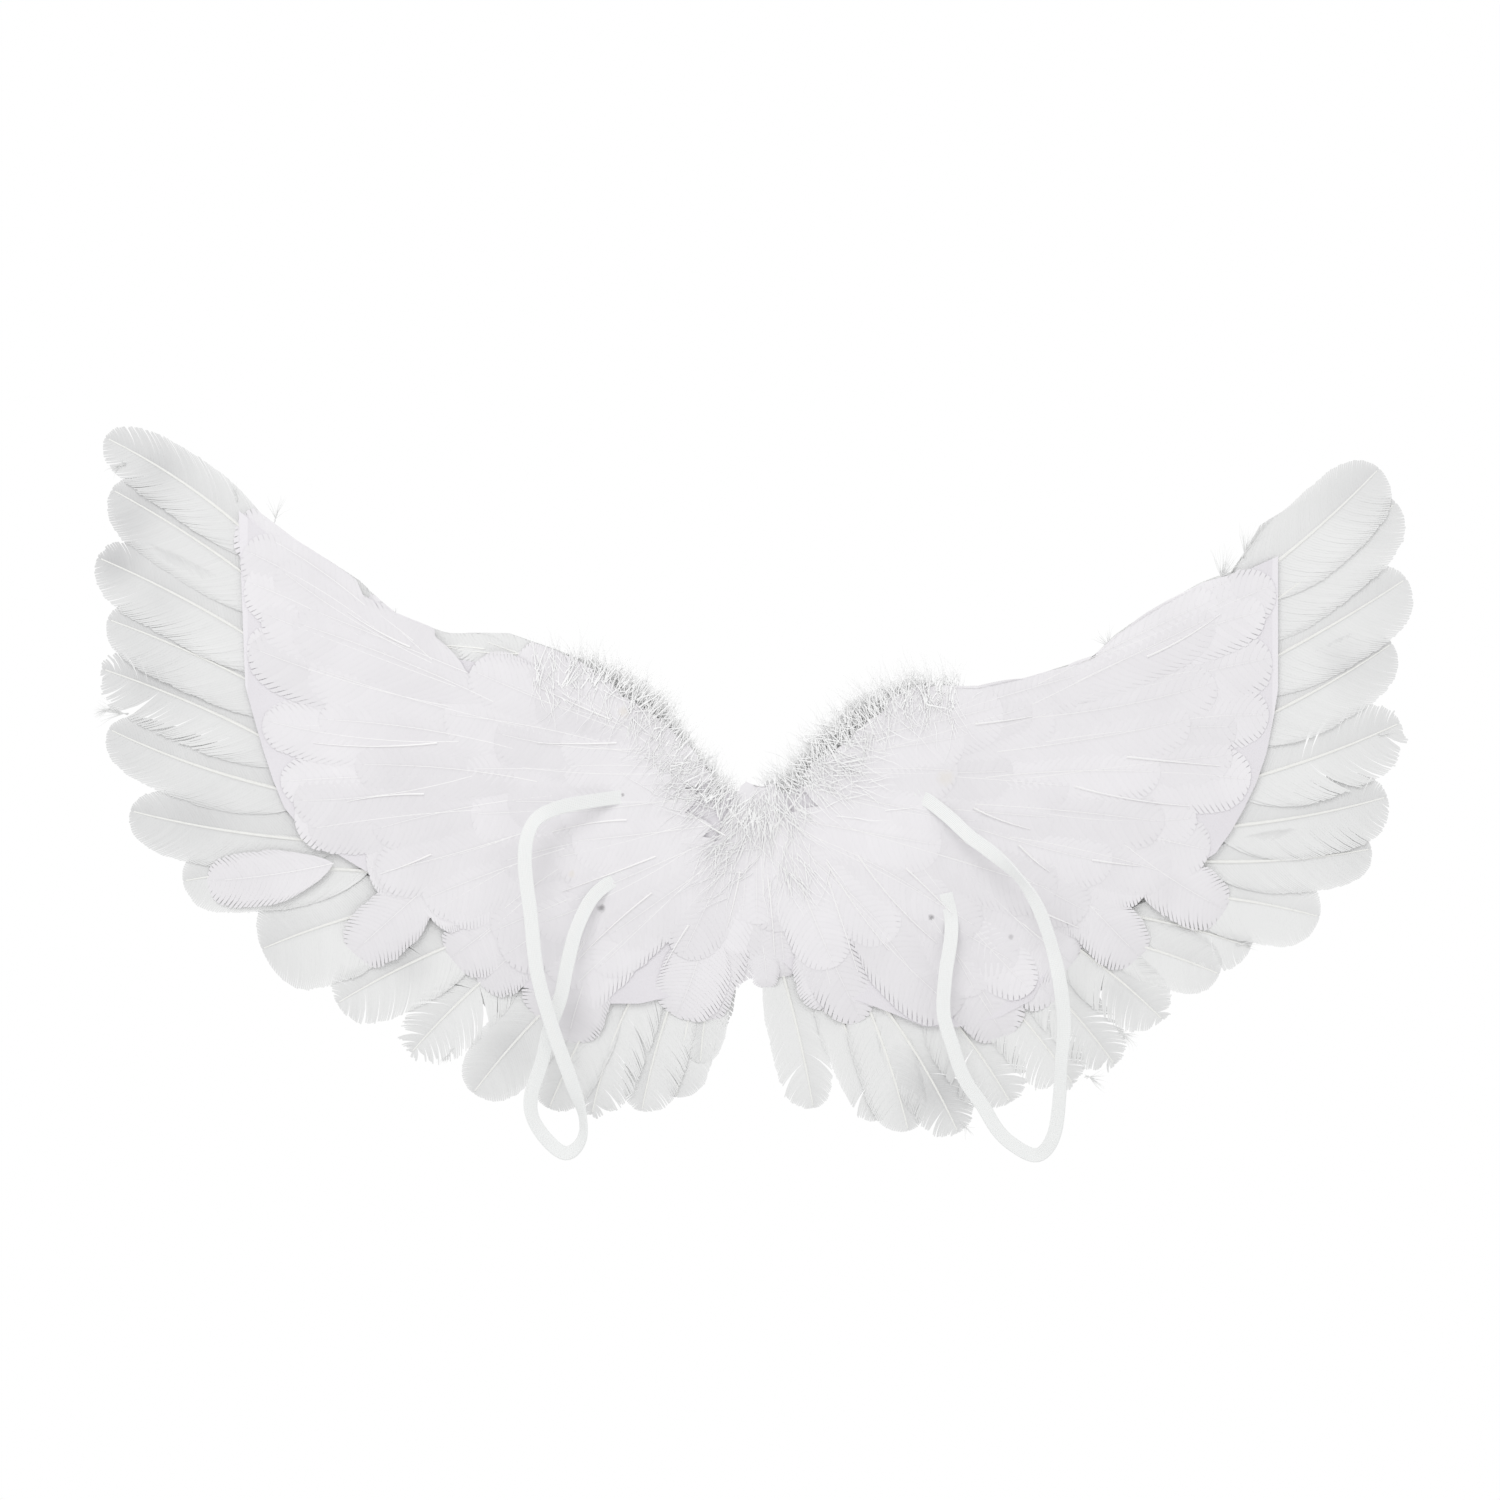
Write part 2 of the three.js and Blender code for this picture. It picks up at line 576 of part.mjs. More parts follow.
const covertRows = [
  {
    name: 'lower_coverts',
    stations: { left: lowerCovertRow, right: lowerCovertRow },
    count: 12,
    length: lowerCovertLength,
    base: lowerCovertBase,
  },
  {
    name: 'middle_coverts',
    stations: { left: middleCovertRow, right: middleCovertRow },
    count: 9,
    length: middleCovertLength,
    base: middleCovertBase,
  },
  {
    name: 'upper_coverts',
    stations: { left: leftUpperCovertRow, right: rightUpperCovertRow },
    count: 8,
    length: upperCovertLength,
    base: upperCovertBase,
  },
];
const liningRows = [
  {
    name: 'outer_lining',
    stations: outerLiningRow,
    count: 8,
    length: outerLiningLength,
    base: outerLiningBase,
  },
  {
    name: 'inner_lining',
    stations: innerLiningRow,
    count: 6,
    length: innerLiningLength,
    base: innerLiningBase,
  },
];
const wingSides = [
  { wing: 'left', side: -1, trim: leftTrimPath, route: leftStrapRoute, start: leftStrapStart },
  { wing: 'right', side: 1, trim: rightTrimPath, route: rightStrapRoute, start: rightStrapStart },
];

for (const { wing, side, trim, route, start } of wingSides) {
  for (const { name, stations, count, length, base } of covertRows) {
    const row = featherRow({
      side, stations: stations[wing], count, length, width: covertWidth, base, facing: 1,
    });
    addPiece(`${wing}_${name}`, toGeometry(outerBody(row)), featherMaterial);
  }
  const slot = toManifold(strapGeometry(side, start, route, seatGap));
  for (const { name, stations, count, length, base } of liningRows) {
    const row = featherRow({ side, stations, count, length, width: liningWidth, base, facing: -1 });
    addPiece(`${wing}_${name}`, toGeometry(outerBody(row.subtract(slot))), featherMaterial);
  }
  addPiece(`${wing}_down_trim`, toGeometry(outerBody(downTrim(side, trim))), downMaterial);
  addPiece(`${wing}_strap`, strapGeometry(side, start, route, 0), strapMaterial);
}

export default wings;
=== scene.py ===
import math

import bpy
import numpy as np
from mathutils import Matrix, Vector


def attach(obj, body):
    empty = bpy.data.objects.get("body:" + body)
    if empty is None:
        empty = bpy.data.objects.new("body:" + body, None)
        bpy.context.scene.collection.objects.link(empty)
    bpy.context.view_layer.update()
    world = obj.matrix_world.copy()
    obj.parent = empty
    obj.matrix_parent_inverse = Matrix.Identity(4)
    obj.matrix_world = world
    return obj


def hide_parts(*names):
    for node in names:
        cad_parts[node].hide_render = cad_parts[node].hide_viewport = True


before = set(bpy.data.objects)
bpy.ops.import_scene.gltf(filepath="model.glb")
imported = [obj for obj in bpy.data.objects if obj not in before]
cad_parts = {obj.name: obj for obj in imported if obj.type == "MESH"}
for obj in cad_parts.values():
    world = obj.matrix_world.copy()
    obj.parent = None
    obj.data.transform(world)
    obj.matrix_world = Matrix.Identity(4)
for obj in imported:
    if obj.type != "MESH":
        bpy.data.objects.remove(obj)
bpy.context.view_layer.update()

# Camera, light and floor. The camera stands level on the wearer's side, so far off that 750 mm of the
# wings' plane fill the picture. Even white light comes from all round, with a soft lamp above the camera
# and a like one behind, and the wings hang clear above a pale floor.
LENS = 85.0
SENSOR = 36.0
VIEW_WIDTH = 0.75
VIEW_MIDDLE = Vector((-0.005, 0.0, 0.05))
SKY_SHARE = 0.86
FRONT_LAMP = {"place": Vector((-0.45, -1.35, 1.35)), "size": 0.9, "power": 7.0}
BACK_LAMP = {"place": Vector((0.45, 1.45, 1.25)), "size": 0.9, "power": 7.0}
FLOOR_SIZE = 1.7
FLOOR_LEVEL = -0.6


class Signal:
    """The output of a shader node, which takes part in sums as a number does."""

    def __init__(self, nodes, socket):
        self.nodes = nodes
        self.socket = socket

    def maths(self, operation, first, second):
        return self.nodes.node("ShaderNodeMath", {"operation": operation}, {0: first, 1: second})

    def __add__(self, other):
        return self.maths("ADD", self, other)

    def __mul__(self, other):
        return self.maths("MULTIPLY", self, other)

    def __sub__(self, other):
        return self.maths("SUBTRACT", self, other)

    def __rsub__(self, other):
        return self.maths("SUBTRACT", other, self)

    __radd__ = __add__
    __rmul__ = __mul__


class Nodes:
    """A tree of shader nodes, added one by one with their settings and inputs."""

    def __init__(self, tree):
        self.tree = tree

    def feed(self, socket, value):
        if isinstance(value, Signal):
            self.tree.links.new(value.socket, socket)
        else:
            socket.default_value = value

    def node(self, kind, settings, inputs, output=0):
        node = self.tree.nodes.new(kind)
        for name, value in settings.items():
            setattr(node, name, value)
        for name, value in inputs.items():
            self.feed(node.inputs[name], value)
        return Signal(self, node.outputs[output])


def aim(place, target):
    return (target - place).to_track_quat("-Z", "Y").to_euler()


camera_place = VIEW_MIDDLE - Vector((0, VIEW_WIDTH * LENS / SENSOR, 0))
bpy.ops.object.camera_add(location=camera_place, rotation=aim(camera_place, VIEW_MIDDLE))
camera = bpy.context.object
camera.data.lens = LENS
camera.data.sensor_width = SENSOR
bpy.context.scene.camera = camera
bpy.context.scene.view_settings.view_transform = "Standard"

world = bpy.data.worlds.new("white_surround")
world.use_nodes = True
bpy.context.scene.world = world
surround = Nodes(world.node_tree)
background = world.node_tree.nodes["Background"]
seen = surround.node("ShaderNodeLightPath", {}, {})
surround.feed(background.inputs["Color"], (1.0, 1.0, 1.0, 1.0))
surround.feed(background.inputs["Strength"], SKY_SHARE + (1 - SKY_SHARE) * seen)

for lamp in (FRONT_LAMP, BACK_LAMP):
    bpy.ops.object.light_add(type="AREA", location=lamp["place"], rotation=aim(lamp["place"], VIEW_MIDDLE))
    bpy.context.object.data.size = lamp["size"]
    bpy.context.object.data.energy = lamp["power"]

bpy.ops.mesh.primitive_plane_add(size=FLOOR_SIZE, location=(0, 0, FLOOR_LEVEL))
floor = bpy.context.object
floor.name = "pale_floor"
floor_material = bpy.data.materials.new("pale_floor")
floor_material.use_nodes = True
floor_paint = Nodes(floor_material.node_tree)
floor_grain = floor_paint.node("ShaderNodeTexNoise", {}, {"Scale": 9.0, "Detail": 4.0})
floor_shader = floor_material.node_tree.nodes["Principled BSDF"]
floor_paint.feed(floor_shader.inputs["Base Color"], (0.82, 0.82, 0.82, 1))
floor_paint.feed(floor_shader.inputs["Roughness"], 0.7 + 0.2 * floor_grain)
floor.data.materials.append(floor_material)

# Base card. One wing-shaped sheet of stiff nonwoven card carries both wings. It is white with a faint
# lavender cast, shows its pressed fibres, and everything else is glued to it.
CARD_DARK = (0.75, 0.728, 0.762, 1)
CARD_LIGHT = (0.87, 0.85, 0.882, 1)
CARD_CUT_EDGE = 0.2562


class Finish(Nodes):
    """A material of the wings, with the values that are the same all over set on its shader."""

    def __init__(self, name, constants):
        self.material = bpy.data.materials.new(name)
        self.material.use_nodes = True
        super().__init__(self.material.node_tree)
        self.shader = self.material.node_tree.nodes["Principled BSDF"]
        for socket, value in constants.items():
            self.shader.inputs[socket].default_value = value

    def wear(self, **changes):
        for name, value in changes.items():
            self.feed(self.shader.inputs[name.replace("_", " ")], value)

    def tint(self, share, dark, light):
        return self.node("ShaderNodeMix", {"data_type": "RGBA"}, {0: share, 6: dark, 7: light}, output=2)

    def noise(self, places, scale, detail=3.0):
        return self.node("ShaderNodeTexNoise", {}, {"Vector": places, "Scale": scale, "Detail": detail})

    def bump(self, height, strength, distance):
        inputs = {"Height": height, "Strength": strength, "Distance": distance}
        return self.node("ShaderNodeBump", {}, inputs)

    def places(self):
        return self.node("ShaderNodeTexCoord", {}, {}, output=3)


card_finish = Finish("pressed_card", {"Roughness": 0.9, "Specular IOR Level": 0.2})
card_places = card_finish.places()
card_fibres = card_finish.noise(card_places, 900.0, 4.0)
card_clouds = card_finish.noise(card_places, 30.0)
card_aside = card_finish.node("ShaderNodeSeparateXYZ", {}, {0: card_places}, output=0)
card_reach = card_finish.node("ShaderNodeMath", {"operation": "ABSOLUTE"}, {0: card_aside})
card_cut = card_finish.node(
    "ShaderNodeMath", {"operation": "GREATER_THAN"}, {0: card_reach, 1: CARD_CUT_EDGE},
)
card_share = 0.3 * card_fibres + 0.6 * card_clouds + 0.12
card_finish.wear(
    Base_Color=card_finish.tint(card_share + 0.5 * card_cut, CARD_DARK, CARD_LIGHT),
    Normal=card_finish.bump(card_fibres, 0.5, 0.0004),
)
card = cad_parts["base_card"]
card.data.materials.clear()
card.data.materials.append(card_finish.material)

# Flight feathers. The large feathers that stand out round the card are bleached goose feathers: a
# tapered quill with a vane of fine barbs on both sides, glued by the bare end of the quill to the
# card's display side. Each one tucks its upper edge behind the feather above it.
MM = 0.001
REACH = 330 * MM
HEIGHT = 350 * MM
FLIGHT_DEPTH = 2.8 * MM
FLIGHT_BARBS = 62
BARE_QUILL = 0.1
FLIGHT_STEPS = np.array([0.0, 0.28, 0.55, 0.8, 1.0])
BARB_THICKNESS = 0.16 * MM
BARB_SWEEP = 0.25
SHINGLE_TILT = 0.026
WIDEST = 0.55
BLUNT_END = 4.5
VANE_DARK = (0.42, 0.42, 0.43, 1)
VANE_LIGHT = (0.855, 0.858, 0.855, 1)
QUILL_DARK = (0.84, 0.84, 0.81, 1)
QUILL_LIGHT = (0.95, 0.95, 0.93, 1)
VANE, QUILL = 0, 1

# How worn each flight feather is: loose barbs at its end, and slits in its vane.
UNWORN = {"fray": 0.04, "slits": 0}
WORN_FEATHERS = {
    "left": [
        {"feather": 1, "fray": 0.2, "slits": 0},
        {"feather": 3, "fray": 0.15, "slits": 0},
        {"feather": 5, "fray": 0.6, "slits": 1},
        {"feather": 10, "fray": 0.2, "slits": 1},
        {"feather": 11, "fray": 0.75, "slits": 2},
        {"feather": 14, "fray": 0.6, "slits": 2},
        {"feather": 15, "fray": 0.2, "slits": 0},
        {"feather": 16, "fray": 0.1, "slits": 1},
    ],
    "right": [
        {"feather": 5, "fray": 0.3, "slits": 2},
        {"feather": 6, "fray": 0.15, "slits": 0},
        {"feather": 9, "fray": 0.2, "slits": 1},
        {"feather": 11, "fray": 0.3, "slits": 1},
        {"feather": 12, "fray": 0.45, "slits": 2},
        {"feather": 13, "fray": 0.5, "slits": 2},
        {"feather": 14, "fray": 0.35, "slits": 2},
        {"feather": 15, "fray": 0.4, "slits": 1},
        {"feather": 17, "fray": 0.15, "slits": 1},
        {"feather": 18, "fray": 0.2, "slits": 1},
    ],
}

# How the end and the root of a feather lie off its plain solid, to the right and up, and how much
# wider its vane is.
FEATHER_LIES = {
    "left": [
        {"feather": 1, "end": (0.4 * MM, 0.8 * MM), "root": (0, 0), "wider": 0.94},
        {"feather": 2, "end": (0.3 * MM, 1.3 * MM), "root": (0, 0), "wider": 1.02},
        {"feather": 3, "end": (0, 1.2 * MM), "root": (0, 0), "wider": 1.03},
        {"feather": 5, "end": (-1.4 * MM, 3.2 * MM), "root": (0, 0), "wider": 1},
        {"feather": 6, "end": (0.5 * MM, 1 * MM), "root": (0, 0), "wider": 1},
        {"feather": 7, "end": (-0.3 * MM, 0.3 * MM), "root": (0, 0), "wider": 1},
        {"feather": 8, "end": (-0.3 * MM, 0), "root": (0, -3 * MM), "wider": 1.08},
        {"feather": 9, "end": (1.2 * MM, -6 * MM), "root": (-2 * MM, 1 * MM), "wider": 1.14},
        {"feather": 10, "end": (-2.3 * MM, 1.8 * MM), "root": (0, 0), "wider": 1.06},
        {"feather": 11, "end": (-1.5 * MM, 0.5 * MM), "root": (0, 0), "wider": 1},
        {"feather": 12, "end": (0, 0.7 * MM), "root": (0, 0), "wider": 1},
        {"feather": 14, "end": (0, -1.5 * MM), "root": (0, 0), "wider": 1},
        {"feather": 15, "end": (3.5 * MM, 0.3 * MM), "root": (0, 0), "wider": 1},
        {"feather": 16, "end": (1 * MM, -1.5 * MM), "root": (0, 0), "wider": 1.05},
        {"feather": 17, "end": (1.5 * MM, 0), "root": (3 * MM, 0), "wider": 1.05},
    ],
    "right": [
        {"feather": 1, "end": (1 * MM, -2.5 * MM), "root": (-0.5 * MM, 2 * MM), "wider": 1.01},
        {"feather": 2, "end": (-3.2 * MM, 0.8 * MM), "root": (0, 0), "wider": 1},
        {"feather": 3, "end": (-1.2 * MM, 2.8 * MM), "root": (0, 0), "wider": 1.04},
        {"feather": 4, "end": (-1.8 * MM, 3.7 * MM), "root": (0, 0), "wider": 1},
        {"feather": 5, "end": (0.5 * MM, 3.4 * MM), "root": (0, 0), "wider": 1},
        {"feather": 6, "end": (-1 * MM, 2 * MM), "root": (0, 0), "wider": 1},
        {"feather": 7, "end": (1 * MM, -0.2 * MM), "root": (0, 0), "wider": 1},
        {"feather": 8, "end": (1.5 * MM, 1.5 * MM), "root": (0, 0), "wider": 1},
        {"feather": 10, "end": (0.6 * MM, 0.8 * MM), "root": (0, 0), "wider": 1},
        {"feather": 11, "end": (-1.4 * MM, -1 * MM), "root": (0, 0), "wider": 1},
        {"feather": 12, "end": (-0.5 * MM, -0.8 * MM), "root": (0, 0), "wider": 1},
        {"feather": 14, "end": (0, -0.5 * MM), "root": (0, 0), "wider": 1},
        {"feather": 15, "end": (2 * MM, 0), "root": (0, 0), "wider": 1},
        {"feather": 16, "end": (0, 1 * MM), "root": (0, 0), "wider": 1},
        {"feather": 17, "end": (3.5 * MM, 1 * MM), "root": (0.5 * MM, 0), "wider": 0.97},
        {"feather": 18, "end": (2 * MM, 0), "root": (-8 * MM, 0), "wider": 1},
    ],
}
AS_ITS_SOLID = {"end": (0, 0), "root": (0, 0), "wider": 1}
FLIGHT_TONES = {"left": (0.92, 0.97), "right": (0.98, 1.03)}
FIRST_LOW_FEATHER = 8
LOW_FEATHERS_PALER = 0.1

# Places of painted shade, where the vanes are painted darker as if shaded by neighbouring feathers or gaps, and of
# painted highlights, where they are painted lighter:
# shares of the reach and the height from the middle of the wings, the radius of the place, and how much darker it
# is.
PAINTED_SHADE_AND_HIGHLIGHT_PLACES = {
    "left": [
        {"out": 0.91, "up": 0.545, "radius": 12 * MM, "depth": 0.16},
        {"out": 0.955, "up": 0.47, "radius": 14 * MM, "depth": 0.22},
        {"out": 0.98, "up": 0.41, "radius": 11 * MM, "depth": 0.26},
        {"out": 0.68, "up": -0.05, "radius": 14 * MM, "depth": -0.1},
        {"out": 0.91, "up": 0.36, "radius": 11 * MM, "depth": 0.12},
        {"out": 0.93, "up": 0.235, "radius": 11 * MM, "depth": 0.15},
        {"out": 0.85, "up": 0.05, "radius": 15 * MM, "depth": 0.15},
        {"out": 0.53, "up": -0.165, "radius": 12 * MM, "depth": 0.2},
        {"out": 0.375, "up": -0.285, "radius": 16 * MM, "depth": 0.2},
        {"out": 0.28, "up": -0.24, "radius": 9 * MM, "depth": 0.25},
    ],
    "right": [
        {"out": 0.26, "up": -0.345, "radius": 16 * MM, "depth": 0.35},
        {"out": 0.545, "up": -0.205, "radius": 12 * MM, "depth": 0.18},
        {"out": 0.62, "up": -0.06, "radius": 9 * MM, "depth": 0.16},
        {"out": 0.73, "up": -0.07, "radius": 11 * MM, "depth": 0.12},
        {"out": 0.88, "up": 0.27, "radius": 9 * MM, "depth": 0.15},
        {"out": 0.45, "up": -0.105, "radius": 12 * MM, "depth": 0.2},
        {"out": 0.86, "up": 0.43, "radius": 20 * MM, "depth": -0.08},
    ],
}


def feather_finish(name, dark, light, streak_depth, cloud_depth, constants, marks=()):
    """Barbs as fine lines across the vane, with soft clouds, the shade that the mesh holds and a painted shadow
    beside the quill.
    """
    finish = Finish(name, constants)
    barbs = finish.node("ShaderNodeUVMap", {"uv_map": "barbs"}, {})
    outward = finish.node("ShaderNodeSeparateXYZ", {}, {0: barbs}, output=0)
    along = finish.node("ShaderNodeSeparateXYZ", {}, {0: barbs}, output=1)
    lines = finish.node("ShaderNodeCombineXYZ", {}, {0: outward * 1.6, 1: along * 230.0})
    streaks = finish.noise(lines, 1.0)
    clouds = finish.noise(finish.places(), 26.0)
    shade = finish.node("ShaderNodeAttribute", {"attribute_name": "shade"}, {}, output=2)
    # Painted shadow: the vane is darker in a narrow band beside the quill.
    painted_quill_shadow = finish.node("ShaderNodeMapRange", {}, {0: outward, 1: 0.0, 2: 0.1, 3: 0.11, 4: 0.0})
    share = shade - streak_depth * (1 - streaks) - cloud_depth * (1 - clouds) - painted_quill_shadow
    colour = finish.tint(share + 0.12, dark, light)
    for mark in marks:
        inputs = {0: finish.places(), 1: (mark["out"] * REACH, 0, mark["up"] * HEIGHT)}
        away = finish.node("ShaderNodeVectorMath", {"operation": "DISTANCE"}, inputs, output=1)
        uneven = away + 0.8 * mark["radius"] * (0.5 - finish.noise(finish.places(), 500.0))
        spot = finish.node(
            "ShaderNodeMapRange", {},
            {0: uneven, 1: 0.4 * mark["radius"], 2: mark["radius"], 3: mark["depth"], 4: 0.0},
        )
        colour = finish.tint(spot, colour, mark["colour"])
    finish.wear(
        Base_Color=colour,
        Roughness=0.5 + 0.25 * streaks,
        Normal=finish.bump(streaks, 0.25, 0.0002),
    )
    return finish.material


def quill_finish(name, dark, light):
    finish = Finish(name, {"Specular IOR Level": 0.6})
    scratches = finish.noise(finish.places(), 400.0)
    finish.wear(Base_Color=finish.tint(scratches, dark, light), Roughness=0.3 + 0.2 * scratches)
    return finish.material


class Heap:
    """Gathers the closed strips of one piece, with a map and a shade for each point."""

    def __init__(self):
        self.points = []
        self.maps = []
        self.shades = []
        self.faces = []
        self.skins = []
        self.count = 0

    def add(self, rings, maps, shades, skin):
        """rings holds strips, each of some rings of the same number of corners, in metres."""
        strips, steps, corners, _ = rings.shape
        edge = rings[:, 0, 1] - rings[:, 0, 0]
        other = rings[:, 0, 2] - rings[:, 0, 0]
        ahead = rings[:, 1].mean(1) - rings[:, 0].mean(1)
        inward = (np.cross(edge, other) * ahead).sum(1) < 0
        rings[inward] = rings[inward][:, :, ::-1]
        maps[inward] = maps[inward][:, :, ::-1]
        shades[inward] = shades[inward][:, :, ::-1]
        number = np.arange(strips * steps * corners).reshape(strips, steps, corners) + self.count
        here, ahead = number[:, :-1], number[:, 1:]
        sides = np.stack([here, np.roll(here, -1, 2), np.roll(ahead, -1, 2), ahead], -1)
        faces = sides.reshape(-1, 4).tolist()
        faces += number[:, 0, ::-1].tolist()
        faces += number[:, -1].tolist()
        self.points.append(rings.reshape(-1, 3))
        self.maps.append(maps.reshape(-1, 2))
        self.shades.append(shades.ravel())
        self.faces += faces
        self.skins.append(np.full(len(faces), skin))
        self.count += strips * steps * corners

    def piece(self, name, node, materials):
        """Makes the piece that stands for a node of the frame."""
        mesh = bpy.data.meshes.new(name)
        mesh.from_pydata(np.concatenate(self.points).tolist(), [], self.faces)
        corners = np.empty(len(mesh.loops), dtype=np.int32)
        mesh.loops.foreach_get("vertex_index", corners)
        barbs = mesh.uv_layers.new(name="barbs")
        barbs.uv.foreach_set("vector", np.concatenate(self.maps)[corners].astype(np.float32).ravel())
        shade = mesh.attributes.new("shade", "FLOAT", "POINT")
        shade.data.foreach_set("value", np.concatenate(self.shades).astype(np.float32))
        for material in materials:
            mesh.materials.append(material)
        mesh.polygons.foreach_set("material_index", np.concatenate(self.skins).astype(np.int32))
        mesh.update()
        made = bpy.data.objects.new(name, mesh)
        bpy.context.collection.objects.link(made)
        bpy.ops.object.select_all(action="DESELECT")
        made.select_set(True)
        bpy.context.view_layer.objects.active = made
        bpy.ops.object.shade_smooth_by_angle(angle=math.radians(40))
        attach(made, "root")
        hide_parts(node)
        return made


def seat_of(node, lie):
    """Reads root, tip, bend and width of a large feather from its solid in the frame."""
    corners = np.array([vertex.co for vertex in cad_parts[node].data.vertices])
    plane = np.unique(corners[:, [0, 2]].round(6), axis=0)
    middle = plane.mean(0)
    axis = np.linalg.svd(plane - middle)[2][0]
    along = (plane - middle) @ axis
    ends = [plane[along < along.min() + 2 * MM], plane[along > along.max() - 2 * MM]]
    ends.sort(key=lambda end: np.ptp(end, axis=0).max())
    root, tip = ends[0].mean(0), ends[1].mean(0)
    run = tip - root
    length = np.hypot(*run)
    aside = np.array([-run[1], run[0]]) / length
    share = (plane - root) @ run / length**2
    offset = (plane - root) @ aside
    bend = offset[(share > 0.4) & (share < 0.5)].mean() / length
    width = np.ptp(offset[(share > 0.6) & (share < 0.75)])
    return {"root": root + lie["root"], "tip": tip + lie["end"], "bend": bend, "width": width * lie["wider"]}


def place_along(seat, along, across, lift):
    """The place in the frame of points given by their share of the quill, distance aside and lift."""
    along, across, lift = np.broadcast_arrays(along, across, lift)
    root, tip = seat["root"], seat["tip"]
    run = tip - root
    knee = (root + tip) / 2 + np.array([-run[1], run[0]]) * seat["bend"] * 2
    share = along[..., None]
    rest = 1 - share
    centre = rest**2 * root + 2 * rest * share * knee + share**2 * tip
    slope = rest * (knee - root) + share * (tip - knee)
    slope = slope / np.linalg.norm(slope, axis=-1, keepdims=True)
    x = centre[..., 0] - slope[..., 1] * across
    z = centre[..., 1] + slope[..., 0] * across
    tilt = seat["tilt"] * seat["side"] * across
    y = seat["depth"] + seat["facing"] * lift + tilt + seat["curl"] * along**2 + seat["droop"] * along**8
    return np.stack([x, y, z], -1)


def vane_outline(share):
    """Half-width of a vane along the feather: it widens from the bare quill and ends round."""
    low = 0.26 + 0.74 * np.sin(np.clip(share / WIDEST, 0, 1) * math.pi / 2) ** 1.5
    high = np.sqrt(np.maximum(1 - np.clip((share - WIDEST) / (1 - WIDEST), 0, 1) ** BLUNT_END, 0))
    return np.where(share < WIDEST, low, high)


def shade_at(wing, points):
    """The shade of points of the vanes, with painted shade and painted highlights at the listed places."""
    shade = np.ones(points.shape[:-1])
    side = -1 if wing == "left" else 1
    # Each place is painted shade from neighbouring feathers or gaps, or a painted highlight where its depth is
    # below zero.
    for thin in PAINTED_SHADE_AND_HIGHLIGHT_PLACES[wing]:
        far = np.hypot(points[..., 0] - side * thin["out"] * REACH, points[..., 2] - thin["up"] * HEIGHT)
        shade -= thin["depth"] * np.exp(-((far / thin["radius"]) ** 2))
    return shade


def under_edge(points, edge):
    """Presses points that would stand above the wing's top edge down to it."""
    aside = np.abs(points[..., 0]) / REACH
    top = np.interp(aside, edge[:, 0], edge[:, 1]) * HEIGHT
    over = points[..., 2] - top
    lowered = points.copy()
    lowered[..., 2] = np.where(over > 0, top + 0.08 * over, points[..., 2])
    return lowered


